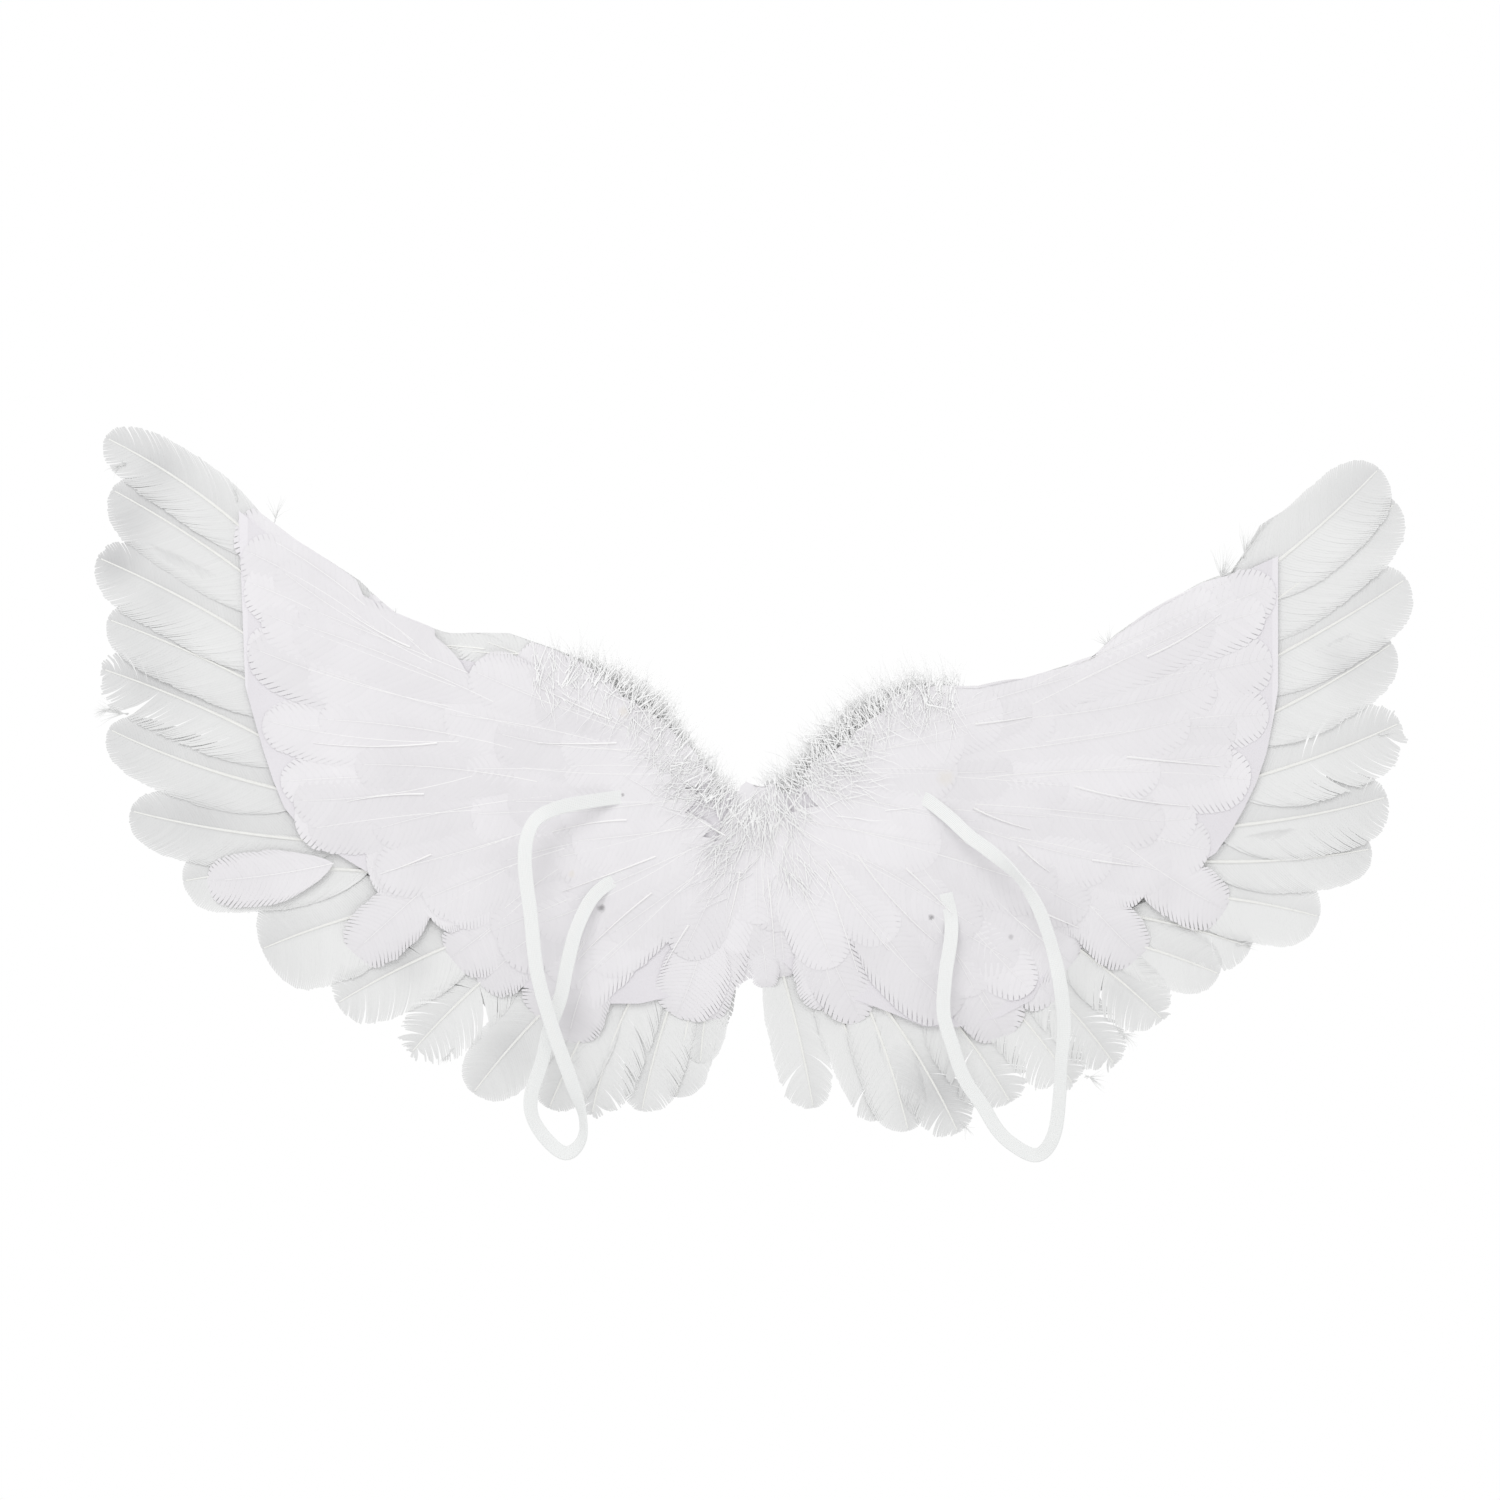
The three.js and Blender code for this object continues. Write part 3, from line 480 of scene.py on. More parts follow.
def add_vane(heap, seat, wing, chance, barbs, fray, slits, tone):
    """Both vanes of a feather: closed strips of barbs from the quill to the outline."""
    length = np.hypot(*(seat["tip"] - seat["root"]))
    count = np.linspace(0, 1, barbs + 1)
    start = seat["bare"] + (0.995 - seat["bare"]) * count**0.93
    end = start + BARB_SWEEP * (1 - start) / (BARB_SWEEP + 1 - start)
    wave = chance.uniform(0, 2 * math.pi)
    for hand in (-1, 1):
        share_of_width = 0.46 if hand == seat["side"] else 0.54
        width = seat["width"] * share_of_width * vane_outline(end) * chance.uniform(0.96, 1.03)
        clumps = np.interp(np.arange(barbs), np.arange(0, barbs + 4, 3), chance.normal(0, 1, (barbs + 6) // 3))
        stretch = 1 + 0.012 * clumps + 0.01 * chance.normal(0, 1, barbs)
        torn = fray * np.clip((end[1:] - 0.35) / 0.5, 0, 1) * (0.55 + 0.45 * np.sin(np.arange(barbs) * 0.9))
        torn += seat["downy"] * np.clip(1 - end[1:] / 0.45, 0, 1)
        stretch += torn * chance.uniform(-0.2, 0.08, barbs)
        gape = np.zeros(barbs)
        for _ in range(slits):
            slit = chance.uniform(0.35, 0.97) * barbs
            gap = chance.uniform(0.015, 0.035)
            away = np.arange(barbs) + 0.5 - slit
            gape += gap * np.sign(away) * np.exp(-np.abs(away) / 3)
        gape += torn * chance.normal(0, 0.04, barbs) * seat["ruffle"]
        u = seat["steps"][None, :] * stretch[:, None]
        borders = []
        for first in (0, 1):
            s = start[first:barbs + first, None]
            e = end[first:barbs + first, None]
            w = width[first:barbs + first, None]
            along = (1 - u) ** 2 * s + 2 * u * (1 - u) * (s + 0.36 * (e - s)) + u**2 * e
            across = w * u * (1.26 - 0.26 * u)
            borders.append(np.stack([along + gape[:, None] * u**2, across], -1))
        middle = (borders[0] + borders[1]) / 2
        half = (borders[1] - borders[0]) / 2
        pinch = 1.04 - (0.25 + 0.55 * torn[:, None]) * u ** (6 - 3.5 * torn[:, None])
        low, high = middle - half * pinch[..., None], middle + half * pinch[..., None]
        across = hand * np.stack([low[..., 1], middle[..., 1], high[..., 1], middle[..., 1]], -1)
        along = np.stack([low[..., 0], middle[..., 0], high[..., 0], middle[..., 0]], -1)
        body = BARB_THICKNESS * np.array([-0.2, 0.5, 0.2, -0.5])
        body = body * (1 - 0.6 * seat["steps"][None, :, None])
        reach = across / (seat["width"] / 2)
        uneven = chance.normal(0, 0.1 * MM, barbs) * seat["ruffle"]
        loose = torn * chance.normal(0, 0.7 * MM, barbs) * seat["ruffle"]
        ripple = uneven[:, None, None] * u[..., None] + loose[:, None, None] * u[..., None] ** 2
        cup = seat["cup"] * reach**2 + seat["wave"] * reach * np.sin(wave + 8 * along)
        points = place_along(seat, along, across, cup + ripple + body)
        maps = np.stack([np.broadcast_to(u[..., None], along.shape), along * length / 0.1], -1)
        if seat["edge"] is not None:
            points = under_edge(points, seat["edge"])
        # Painted shade: the vane is darker at the shaded places and towards its end.
        shade = tone * shade_at(wing, points) - seat["tip_painted_shade"] * np.clip(along, 0, 1) ** 2.5
        # Painted shade of the feather above: the upper vane is darker near the quill.
        if hand == seat["side"]:
            shade = shade - seat["upper_vane_painted_shade"] * (1 - u[..., None])
        shade = shade + chance.normal(0, 0.01, barbs)[:, None, None]
        heap.add(points, maps, shade, VANE)


def add_quill(heap, seat, thick, first, last, steps, sides):
    """A tapered quill along the middle of the feather."""
    along = np.linspace(first, last, steps)
    radius = thick * (1 - 0.75 * np.clip(along, 0, 1)) + 0.08 * MM
    turn = np.linspace(0, 2 * math.pi, sides, endpoint=False)
    across = radius[:, None] * np.cos(turn)
    lift = radius[:, None] * np.sin(turn)
    points = place_along(seat, along[:, None], across, lift)[None]
    if seat["edge"] is not None:
        points = under_edge(points, seat["edge"])
    maps = np.zeros(points.shape[:-1] + (2,))
    heap.add(points, maps, np.ones(points.shape[:-1]), QUILL)


STRAND_STEPS = np.linspace(0, 1, 6)


def add_strands(heap, chance, roots, ways, lengths, sag, radius):
    """Soft strands of down: thin closed threads that bend as they run."""
    number = len(roots)
    ways = ways / np.linalg.norm(ways, axis=1, keepdims=True)
    first = np.cross(ways, np.array([0.13, 0.97, 0.21]))
    first /= np.linalg.norm(first, axis=1, keepdims=True)
    second = np.cross(ways, first)
    bow = first * chance.normal(0, sag, (number, 1)) + 0.4 * second * chance.normal(0, sag, (number, 1))
    step = STRAND_STEPS[None, :, None]
    wave = 0.03 * np.sin(step * 9 + chance.uniform(0, 6.3, (number, 1, 1))) * first[:, None]
    spine = roots[:, None] + lengths[:, None, None] * (ways[:, None] * step + bow[:, None] * step**2 + wave * step)
    turn = np.arange(3) * 2 * math.pi / 3
    slim = radius * (1 - 0.9 * STRAND_STEPS)[None, :, None, None]
    ring = np.cos(turn)[:, None] * first[:, None, None] + np.sin(turn)[:, None] * second[:, None, None]
    rings = spine[:, :, None] + slim * ring
    maps = np.zeros(rings.shape[:-1] + (2,))
    maps[..., 0] = STRAND_STEPS[None, :, None]
    shades = np.broadcast_to(chance.uniform(0.92, 1.0, (number, 1, 1)), rings.shape[:-1]).copy()
    heap.add(rings, maps, shades, VANE)


def add_tuft(heap, chance, side, tuft, depth):
    """A few loose barbs that stand out from one place."""
    number = tuft["count"]
    root = np.array([side * tuft["out"] * REACH, depth, tuft["up"] * HEIGHT])
    angle = np.radians(tuft["rise"] + chance.normal(0, tuft["spread"], number))
    ways = np.stack([side * np.cos(angle), chance.normal(0, 0.1, number), np.sin(angle)], -1)
    roots = root + ways * chance.uniform(-3, 1, (number, 1)) * MM
    add_strands(heap, chance, roots, ways, chance.uniform(0.5, 1, number) * tuft["length"], 0.15, 0.2 * MM)


LOOSE_BARBS = {
    "left": [
        {"feather": 5, "out": 0.965, "up": 0.195, "rise": 8, "spread": 12, "length": 16 * MM, "count": 30},
        {"feather": 5, "out": 0.99, "up": 0.2, "rise": -12, "spread": 22, "length": 9 * MM, "count": 22},
        {"feather": 1, "out": 0.97, "up": 0.55, "rise": -30, "spread": 20, "length": 9 * MM, "count": 14},
        {"feather": 11, "out": 0.47, "up": -0.29, "rise": -60, "spread": 16, "length": 10 * MM, "count": 16},
    ],
    "right": [
        {"feather": 9, "out": 0.73, "up": -0.135, "rise": 0, "spread": 14, "length": 13 * MM, "count": 12},
        {"feather": 11, "out": 0.55, "up": -0.262, "rise": -35, "spread": 22, "length": 12 * MM, "count": 24},
        {"feather": 13, "out": 0.5, "up": -0.325, "rise": -25, "spread": 20, "length": 12 * MM, "count": 18},
        {"feather": 15, "out": 0.31, "up": -0.395, "rise": -50, "spread": 20, "length": 8 * MM, "count": 12},
        {"feather": 5, "out": 0.945, "up": 0.165, "rise": 5, "spread": 14, "length": 8 * MM, "count": 12},
    ],
}

flight_vane = feather_finish("flight_vane", VANE_DARK, VANE_LIGHT, 0.08, 0.14, {"Specular IOR Level": 0.25})
flight_quill = quill_finish("flight_quill", QUILL_DARK, QUILL_LIGHT)

flight_nodes = sorted(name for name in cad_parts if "flight_feather" in name)
for number, node in enumerate(flight_nodes):
    wing, place = node.split("_")[0], int(node.split("_")[-1])
    worn = next((row for row in WORN_FEATHERS[wing] if row["feather"] == place), UNWORN)
    lie = next((row for row in FEATHER_LIES[wing] if row["feather"] == place), AS_ITS_SOLID)
    chance = np.random.default_rng(100 + number)
    seat = seat_of(node, lie)
    seat["side"] = -1 if wing == "left" else 1
    seat["facing"] = 1
    seat["depth"] = FLIGHT_DEPTH
    seat["tilt"] = SHINGLE_TILT
    seat["curl"] = chance.uniform(-1.2, 0.3) * MM
    seat["cup"] = chance.uniform(-0.6, -0.1) * MM
    seat["wave"] = 0.3 * MM
    seat["droop"] = 0
    seat["steps"] = FLIGHT_STEPS
    seat["ruffle"] = 0.5
    seat["bare"] = BARE_QUILL
    seat["downy"] = 0.3
    seat["edge"] = None
    # Painted shade towards the end of the vane.
    seat["tip_painted_shade"] = 0.2
    # Painted shade on the upper vane, under the feather above.
    seat["upper_vane_painted_shade"] = 0.14
    heap = Heap()
    tone = chance.uniform(*FLIGHT_TONES[wing]) + (LOW_FEATHERS_PALER if place >= FIRST_LOW_FEATHER else 0)
    add_vane(heap, seat, wing, chance, FLIGHT_BARBS, worn["fray"], worn["slits"], tone)
    add_quill(heap, seat, 1.1 * MM, 0.0, 0.985, 15, 6)
    for tuft in LOOSE_BARBS[wing]:
        if tuft["feather"] == place:
            add_tuft(heap, chance, seat["side"], tuft, FLIGHT_DEPTH - 0.5 * MM)
    heap.piece(f"{node}_barbs", node, [flight_vane, flight_quill])

# Coverts. Three rows of small white feathers lie over the roots of the flight feathers on the display
# side, each row strung on a tape and glued down, the upper rows over the lower ones.
SMALL_STEPS = np.array([0.0, 0.35, 0.72, 1.0])
COVERT_WIDTH = 31 * MM
COVERT_ROWS = [
    {
        "name": "lower_coverts", "count": 17, "length": 66 * MM, "depth": 7.5 * MM,
        "courses": [0],
        "stations": [
            {"out": 0.7, "up": 0.36, "rise": 36},
            {"out": 0.65, "up": 0.215, "rise": 24},
            {"out": 0.59, "up": 0.07, "rise": 6},
            {"out": 0.44, "up": -0.045, "rise": -28},
            {"out": 0.24, "up": -0.105, "rise": -58},
            {"out": 0.065, "up": -0.08, "rise": -82},
        ],
    },
    {
        "name": "middle_coverts", "count": 15, "length": 60 * MM, "depth": 9.6 * MM,
        "courses": [0, -24 * MM, -46 * MM],
        "stations": [
            {"out": 0.605, "up": 0.3, "rise": 34},
            {"out": 0.545, "up": 0.155, "rise": 18},
            {"out": 0.425, "up": 0.045, "rise": -10},
            {"out": 0.26, "up": -0.03, "rise": -45},
            {"out": 0.065, "up": -0.015, "rise": -80},
        ],
    },
    {
        "name": "upper_coverts", "count": 18, "length": 58 * MM, "depth": 11.7 * MM,
        "courses": [0, -30 * MM],
        "stations": [
            {"out": 0.61, "up": 0.33, "rise": 38},
            {"out": 0.485, "up": 0.26, "rise": 29},
            {"out": 0.375, "up": 0.2, "rise": 15},
            {"out": 0.24, "up": 0.14, "rise": -10},
            {"out": 0.145, "up": 0.07, "rise": -40},
            {"out": 0.065, "up": 0.01, "rise": -78},
        ],
    },
]
COVERT_COURSE_STEP = 0.9 * MM
EDGE_COVERTS = 12
EDGE_COVERT_LENGTH = 52 * MM
EDGE_COVERT_WIDTH = 26 * MM
EDGE_COVERT_DEPTH = 2.4 * MM
COVERT = {"facing": 1, "fray": 0.2, "barbs": 22, "lift": 1.0, "press": 0, "droop": 0, "quill": 0.45 * MM}

# The top edge of each wing, as shares of the reach and the height: no small feather stands above it.
TOP_EDGES = {
    "left": [
        {"out": 0, "up": 0.075},
        {"out": 0.06, "up": 0.09},
        {"out": 0.1, "up": 0.14},
        {"out": 0.16, "up": 0.215},
        {"out": 0.24, "up": 0.262},
        {"out": 0.31, "up": 0.285},
        {"out": 0.38, "up": 0.309},
        {"out": 0.475, "up": 0.309},
        {"out": 0.553, "up": 0.337},
        {"out": 0.611, "up": 0.386},
        {"out": 0.703, "up": 0.441},
        {"out": 0.79, "up": 0.506},
        {"out": 1, "up": 0.6},
    ],
    "right": [
        {"out": 0, "up": 0.085},
        {"out": 0.08, "up": 0.13},
        {"out": 0.16, "up": 0.2},
        {"out": 0.24, "up": 0.235},
        {"out": 0.33, "up": 0.229},
        {"out": 0.4, "up": 0.243},
        {"out": 0.506, "up": 0.272},
        {"out": 0.541, "up": 0.305},
        {"out": 0.586, "up": 0.335},
        {"out": 0.67, "up": 0.379},
        {"out": 0.72, "up": 0.396},
        {"out": 0.761, "up": 0.465},
        {"out": 1, "up": 0.6},
    ],
}

# Wisps of loose barbs that stand over the top edge.
EDGE_WISPS = {
    "left": [
        {"out": 0.795, "up": 0.505, "rise": 75, "spread": 12, "length": 10 * MM, "count": 8},
        {"out": 0.735, "up": 0.474, "rise": 95, "spread": 20, "length": 13 * MM, "count": 12},
        {"out": 0.555, "up": 0.334, "rise": 95, "spread": 14, "length": 6 * MM, "count": 6},
    ],
    "right": [
        {"out": 0.7, "up": 0.39, "rise": 70, "spread": 22, "length": 19 * MM, "count": 30},
        {"out": 0.735, "up": 0.425, "rise": 75, "spread": 18, "length": 17 * MM, "count": 24},
        {"out": 0.53, "up": 0.29, "rise": 110, "spread": 24, "length": 12 * MM, "count": 16},
    ],
}


def row_places(stations, count, side):
    """Evenly spaced places along a row, with the way that a feather runs from each."""
    table = np.array([[side * row["out"] * REACH, row["up"] * HEIGHT, row["rise"]] for row in stations])
    gone = np.concatenate([[0], np.cumsum(np.hypot(*np.diff(table[:, :2], axis=0).T))])
    wanted = np.linspace(0, gone[-1], count)
    x, z, rise = (np.interp(wanted, gone, column) for column in table.T)
    rise = np.radians(rise)
    return np.stack([x, z], -1), np.stack([side * np.cos(rise), np.sin(rise)], -1)


def small_seat(wing, chance, kind, root, way, length, width, depth):
    """How a small feather of a kind lies: which way it faces, and how far it lifts or is pressed down."""
    facing, lift, press = kind["facing"], kind["lift"], kind["press"]
    return {
        "root": root,
        "tip": root + way * length,
        "bend": chance.uniform(-0.04, 0.04),
        "width": width,
        "side": -1 if wing == "left" else 1,
        "facing": facing,
        "depth": depth,
        "tilt": 0.05 * lift,
        "curl": facing * (chance.uniform(-0.2, 0.8) * MM * lift - press),
        "cup": -0.5 * MM * lift - press,
        "wave": 0.3 * MM * lift,
        "droop": kind["droop"],
        "steps": SMALL_STEPS,
        "ruffle": 0.6 * lift,
        "bare": 0.02,
        "downy": 0.8,
        "edge": np.array([[row["out"], row["up"]] for row in TOP_EDGES[wing]]),
        # Painted shade towards the end and on the upper vane, less for feathers pressed flat.
        "tip_painted_shade": 0.06 * lift,
        "upper_vane_painted_shade": 0.04 * lift,
    }


def add_small_feather(heap, wing, chance, kind, root, way, length, width, depth, tone):
    """A small feather with a thin quill, laid down from its root."""
    seat = small_seat(wing, chance, kind, root, way, length, width, depth)
    add_vane(heap, seat, wing, chance, kind["barbs"], kind["fray"], 0, tone)
    add_quill(heap, seat, kind["quill"], 0.02, 0.95, 9, 5)


def edge_places(wing, side, count):
    """Roots and ways of feathers that lie along the top edge, just under it."""
    table = [{**row, "rise": 0} for row in TOP_EDGES[wing][1:-3]]
    roots, _ = row_places(table, count + 1, side)
    ways = np.diff(roots, axis=0)
    ways /= np.linalg.norm(ways, axis=1, keepdims=True)
    below = np.stack([ways[:, 1], -ways[:, 0]], -1) * side
    return roots[:-1] + below * 0.3 * EDGE_COVERT_WIDTH, ways


covert_vane = feather_finish("covert_vane", VANE_DARK, VANE_LIGHT, 0.08, 0.14, {"Specular IOR Level": 0.2})
covert_quill = quill_finish("covert_quill", QUILL_DARK, QUILL_LIGHT)
for wing, side in (("left", -1), ("right", 1)):
    for number, row in enumerate(COVERT_ROWS):
        chance = np.random.default_rng(200 + 10 * number + side)
        heap = Heap()
        roots, ways = row_places(row["stations"], row["count"], side)
        for course, shift in enumerate(row["courses"]):
            for index, (root, way) in enumerate(zip(roots, ways)):
                turn = chance.normal(0, 0.07)
                way = np.array([way[0] - way[1] * turn, way[1] + way[0] * turn])
                length = row["length"] * chance.uniform(0.92, 1.04)
                width = COVERT_WIDTH * chance.uniform(0.92, 1.05)
                depth = row["depth"] + 0.5 * MM * (index % 2) + COVERT_COURSE_STEP * course
                tone = chance.uniform(0.96, 1.0)
                start = root + way * shift
                add_small_feather(heap, wing, chance, COVERT, start, way, length, width, depth, tone)
        if row["name"] == "upper_coverts":
            for root, way in zip(*edge_places(wing, side, EDGE_COVERTS)):
                length = EDGE_COVERT_LENGTH * chance.uniform(0.9, 1.05)
                tone = chance.uniform(1.0, 1.04)
                add_small_feather(
                    heap, wing, chance, COVERT, root, way, length, EDGE_COVERT_WIDTH, EDGE_COVERT_DEPTH, tone,
                )
            for wisp in EDGE_WISPS[wing]:
                add_tuft(heap, chance, side, wisp, EDGE_COVERT_DEPTH)
        heap.piece(f"{wing}_{row['name']}_barbs", f"{wing}_{row['name']}",
                   [covert_vane, covert_quill])

# Lining. Thin small feathers are glued flat over the card on the wearer's side, so that it shows only
# along its edge. They run outwards in mid-wing and fan down near the middle, and their fine quills show.
LINING_WIDTH = 33 * MM
LINING_COURSES = [16 * MM, -8 * MM, -34 * MM]
COURSE_STEP = 0.14 * MM
LINING = {
    "facing": -1, "fray": 0.12, "barbs": 23, "lift": 0.1, "press": 0.14 * MM, "droop": 0,
    "quill": 0.22 * MM,
}
LOW_LINING = {**LINING, "fray": 0.45, "droop": 3 * MM}
OVERHANG = (7 * MM, 17 * MM)
SHORTEST_LINING = 34 * MM
LOOSE_LINING_TONE = 0.8
SHOWN_QUILL = 0.5 * MM
LINING_DARK = (0.6, 0.585, 0.605, 1)
LINING_LIGHT = (0.93, 0.915, 0.937, 1)
LINING_ROWS = [
    {
        "name": "outer_lining", "count": 12, "length": 88 * MM, "depth": -0.35 * MM,
        "stations": [
            {"out": 0.56, "up": 0.325, "rise": 36, "long": 1.1},
            {"out": 0.465, "up": 0.21, "rise": 16, "long": 1.3},
            {"out": 0.44, "up": 0.115, "rise": 2, "long": 1.3},
            {"out": 0.43, "up": 0.02, "rise": -12, "long": 1.15},
            {"out": 0.35, "up": -0.06, "rise": -36, "long": 1.05},
            {"out": 0.24, "up": -0.085, "rise": -55, "long": 1.05},
        ],
    },
    {
        "name": "inner_lining", "count": 11, "length": 86 * MM, "depth": -0.75 * MM,
        "stations": [
            {"out": 0.26, "up": 0.21, "rise": 28},
            {"out": 0.18, "up": 0.13, "rise": 6},
            {"out": 0.16, "up": 0.05, "rise": -9},
            {"out": 0.14, "up": -0.01, "rise": -24},
            {"out": 0.09, "up": -0.045, "rise": -50, "long": 1.1},
            {"out": 0.045, "up": -0.03, "rise": -80, "long": 1},
            {"out": 0.0, "up": 0.03, "rise": -91, "long": 0.9},
        ],
    },
]
# Marks on the lining: painted shade in the small holes that the loops' ends go through, and faint spots of old
# glue.
HOLE_SHADE = (0.22, 0.21, 0.22, 1)
GLUE = (0.78, 0.72, 0.6, 1)
LINING_MARKS = [
    {"out": -0.2085, "up": 0.079, "radius": 1.6 * MM, "depth": 0.8, "colour": HOLE_SHADE},
    {"out": -0.241, "up": -0.083, "radius": 2.6 * MM, "depth": 0.7, "colour": HOLE_SHADE},
    {"out": 0.259, "up": -0.096, "radius": 1.9 * MM, "depth": 0.75, "colour": HOLE_SHADE},
    {"out": 0.38, "up": -0.124, "radius": 1.7 * MM, "depth": 0.35, "colour": HOLE_SHADE},
    {"out": 0.281, "up": 0.103, "radius": 5 * MM, "depth": 0.25, "colour": GLUE},
    {"out": -0.206, "up": 0.197, "radius": 3.5 * MM, "depth": 0.3, "colour": GLUE},
    {"out": -0.285, "up": -0.034, "radius": 2.5 * MM, "depth": 0.3, "colour": GLUE},
]
# Quills that show plainly on the lining, from inner to outer end, as shares of reach and height.
SHOWN_QUILLS = {
    "left": [
        {"row": "outer_lining", "out": 0.489, "up": 0.153, "end_out": 0.677, "end_up": 0.153},
        {"row": "outer_lining", "out": 0.509, "up": 0.08, "end_out": 0.626, "end_up": 0.069},
        {"row": "outer_lining", "out": 0.498, "up": -0.006, "end_out": 0.575, "end_up": -0.034},
        {"row": "outer_lining", "out": 0.53, "up": 0.29, "end_out": 0.625, "end_up": 0.34},
        {"row": "inner_lining", "out": 0.217, "up": 0.153, "end_out": 0.338, "end_up": 0.153},
        {"row": "inner_lining", "out": 0.227, "up": 0.187, "end_out": 0.344, "end_up": 0.237},
        {"row": "inner_lining", "out": 0.202, "up": 0.043, "end_out": 0.315, "end_up": 0.026},
        {"row": "inner_lining", "out": 0.158, "up": -0.009, "end_out": 0.3, "end_up": -0.059},
        {"row": "inner_lining", "out": 0.164, "up": -0.061, "end_out": 0.276, "end_up": -0.157},
        {"row": "inner_lining", "out": 0.108, "up": -0.107, "end_out": 0.145, "end_up": -0.166},
        {"row": "inner_lining", "out": 0.053, "up": 0.021, "end_out": 0.114, "end_up": 0.057},
        {"row": "inner_lining", "out": 0.02, "up": 0.03, "end_out": 0.06, "end_up": 0.075},
        {"row": "inner_lining", "out": 0.03, "up": -0.03, "end_out": 0.05, "end_up": -0.11},
    ],
    "right": [
        {"row": "outer_lining", "out": 0.476, "up": 0.091, "end_out": 0.65, "end_up": 0.063},
        {"row": "outer_lining", "out": 0.555, "up": 0.133, "end_out": 0.697, "end_up": 0.12},
        {"row": "outer_lining", "out": 0.586, "up": 0.276, "end_out": 0.697, "end_up": 0.337},
        {"row": "outer_lining", "out": 0.503, "up": -0.014, "end_out": 0.576, "end_up": -0.023},
        {"row": "outer_lining", "out": 0.424, "up": -0.087, "end_out": 0.483, "end_up": -0.111},
        {"row": "inner_lining", "out": 0.1, "up": -0.017, "end_out": 0.195, "end_up": -0.143},
        {"row": "inner_lining", "out": 0.148, "up": -0.007, "end_out": 0.268, "end_up": -0.133},
        {"row": "inner_lining", "out": 0.221, "up": -0.026, "end_out": 0.3, "end_up": -0.1},
        {"row": "inner_lining", "out": 0.103, "up": -0.043, "end_out": 0.148, "end_up": -0.174},
        {"row": "inner_lining", "out": 0.326, "up": 0.18, "end_out": 0.412, "end_up": 0.191},
        {"row": "inner_lining", "out": 0.323, "up": 0.06, "end_out": 0.409, "end_up": 0.03},
        {"row": "inner_lining", "out": 0.392, "up": 0.007, "end_out": 0.438, "end_up": -0.031},
        {"row": "inner_lining", "out": 0.012, "up": -0.04, "end_out": 0.022, "end_up": -0.15},
        {"row": "inner_lining", "out": 0.02, "up": 0.03, "end_out": 0.08, "end_up": 0.1},
    ],
}


def over_card(place):
    """Whether a place in the plane of the wings lies over the card."""
    return card.ray_cast(Vector((place[0], -REACH, place[1])), Vector((0, 1, 0)))[0]


def length_on_card(root, way, length, overhang):
    """Shortens a feather until its end stands no further past the card's edge than the overhang."""
    while length > SHORTEST_LINING and not over_card(root + way * (length - overhang)):
        length -= 1.5 * MM
    return length


# Feathers of the outer lining that have come loose at their ends and lie over the flight feathers.
LOOSE_FEATHERS = {
    "left": [
        {"out": 0.642, "up": -0.018, "rise": -8, "length": 66 * MM, "width": 27 * MM},
        {"out": 0.485, "up": -0.035, "rise": -42, "length": 60 * MM, "width": 32 * MM},
        {"out": 0.245, "up": -0.14, "rise": -72, "length": 50 * MM, "width": 30 * MM},
        {"out": 0.06, "up": -0.1, "rise": -80, "length": 52 * MM, "width": 26 * MM},
    ],
    "right": [
        {"out": 0.55, "up": 0.01, "rise": -33, "length": 62 * MM, "width": 32 * MM},
        {"out": 0.46, "up": -0.04, "rise": -46, "length": 56 * MM, "width": 32 * MM},
        {"out": -0.002, "up": -0.105, "rise": -83, "length": 33 * MM, "width": 15 * MM},
    ],
}

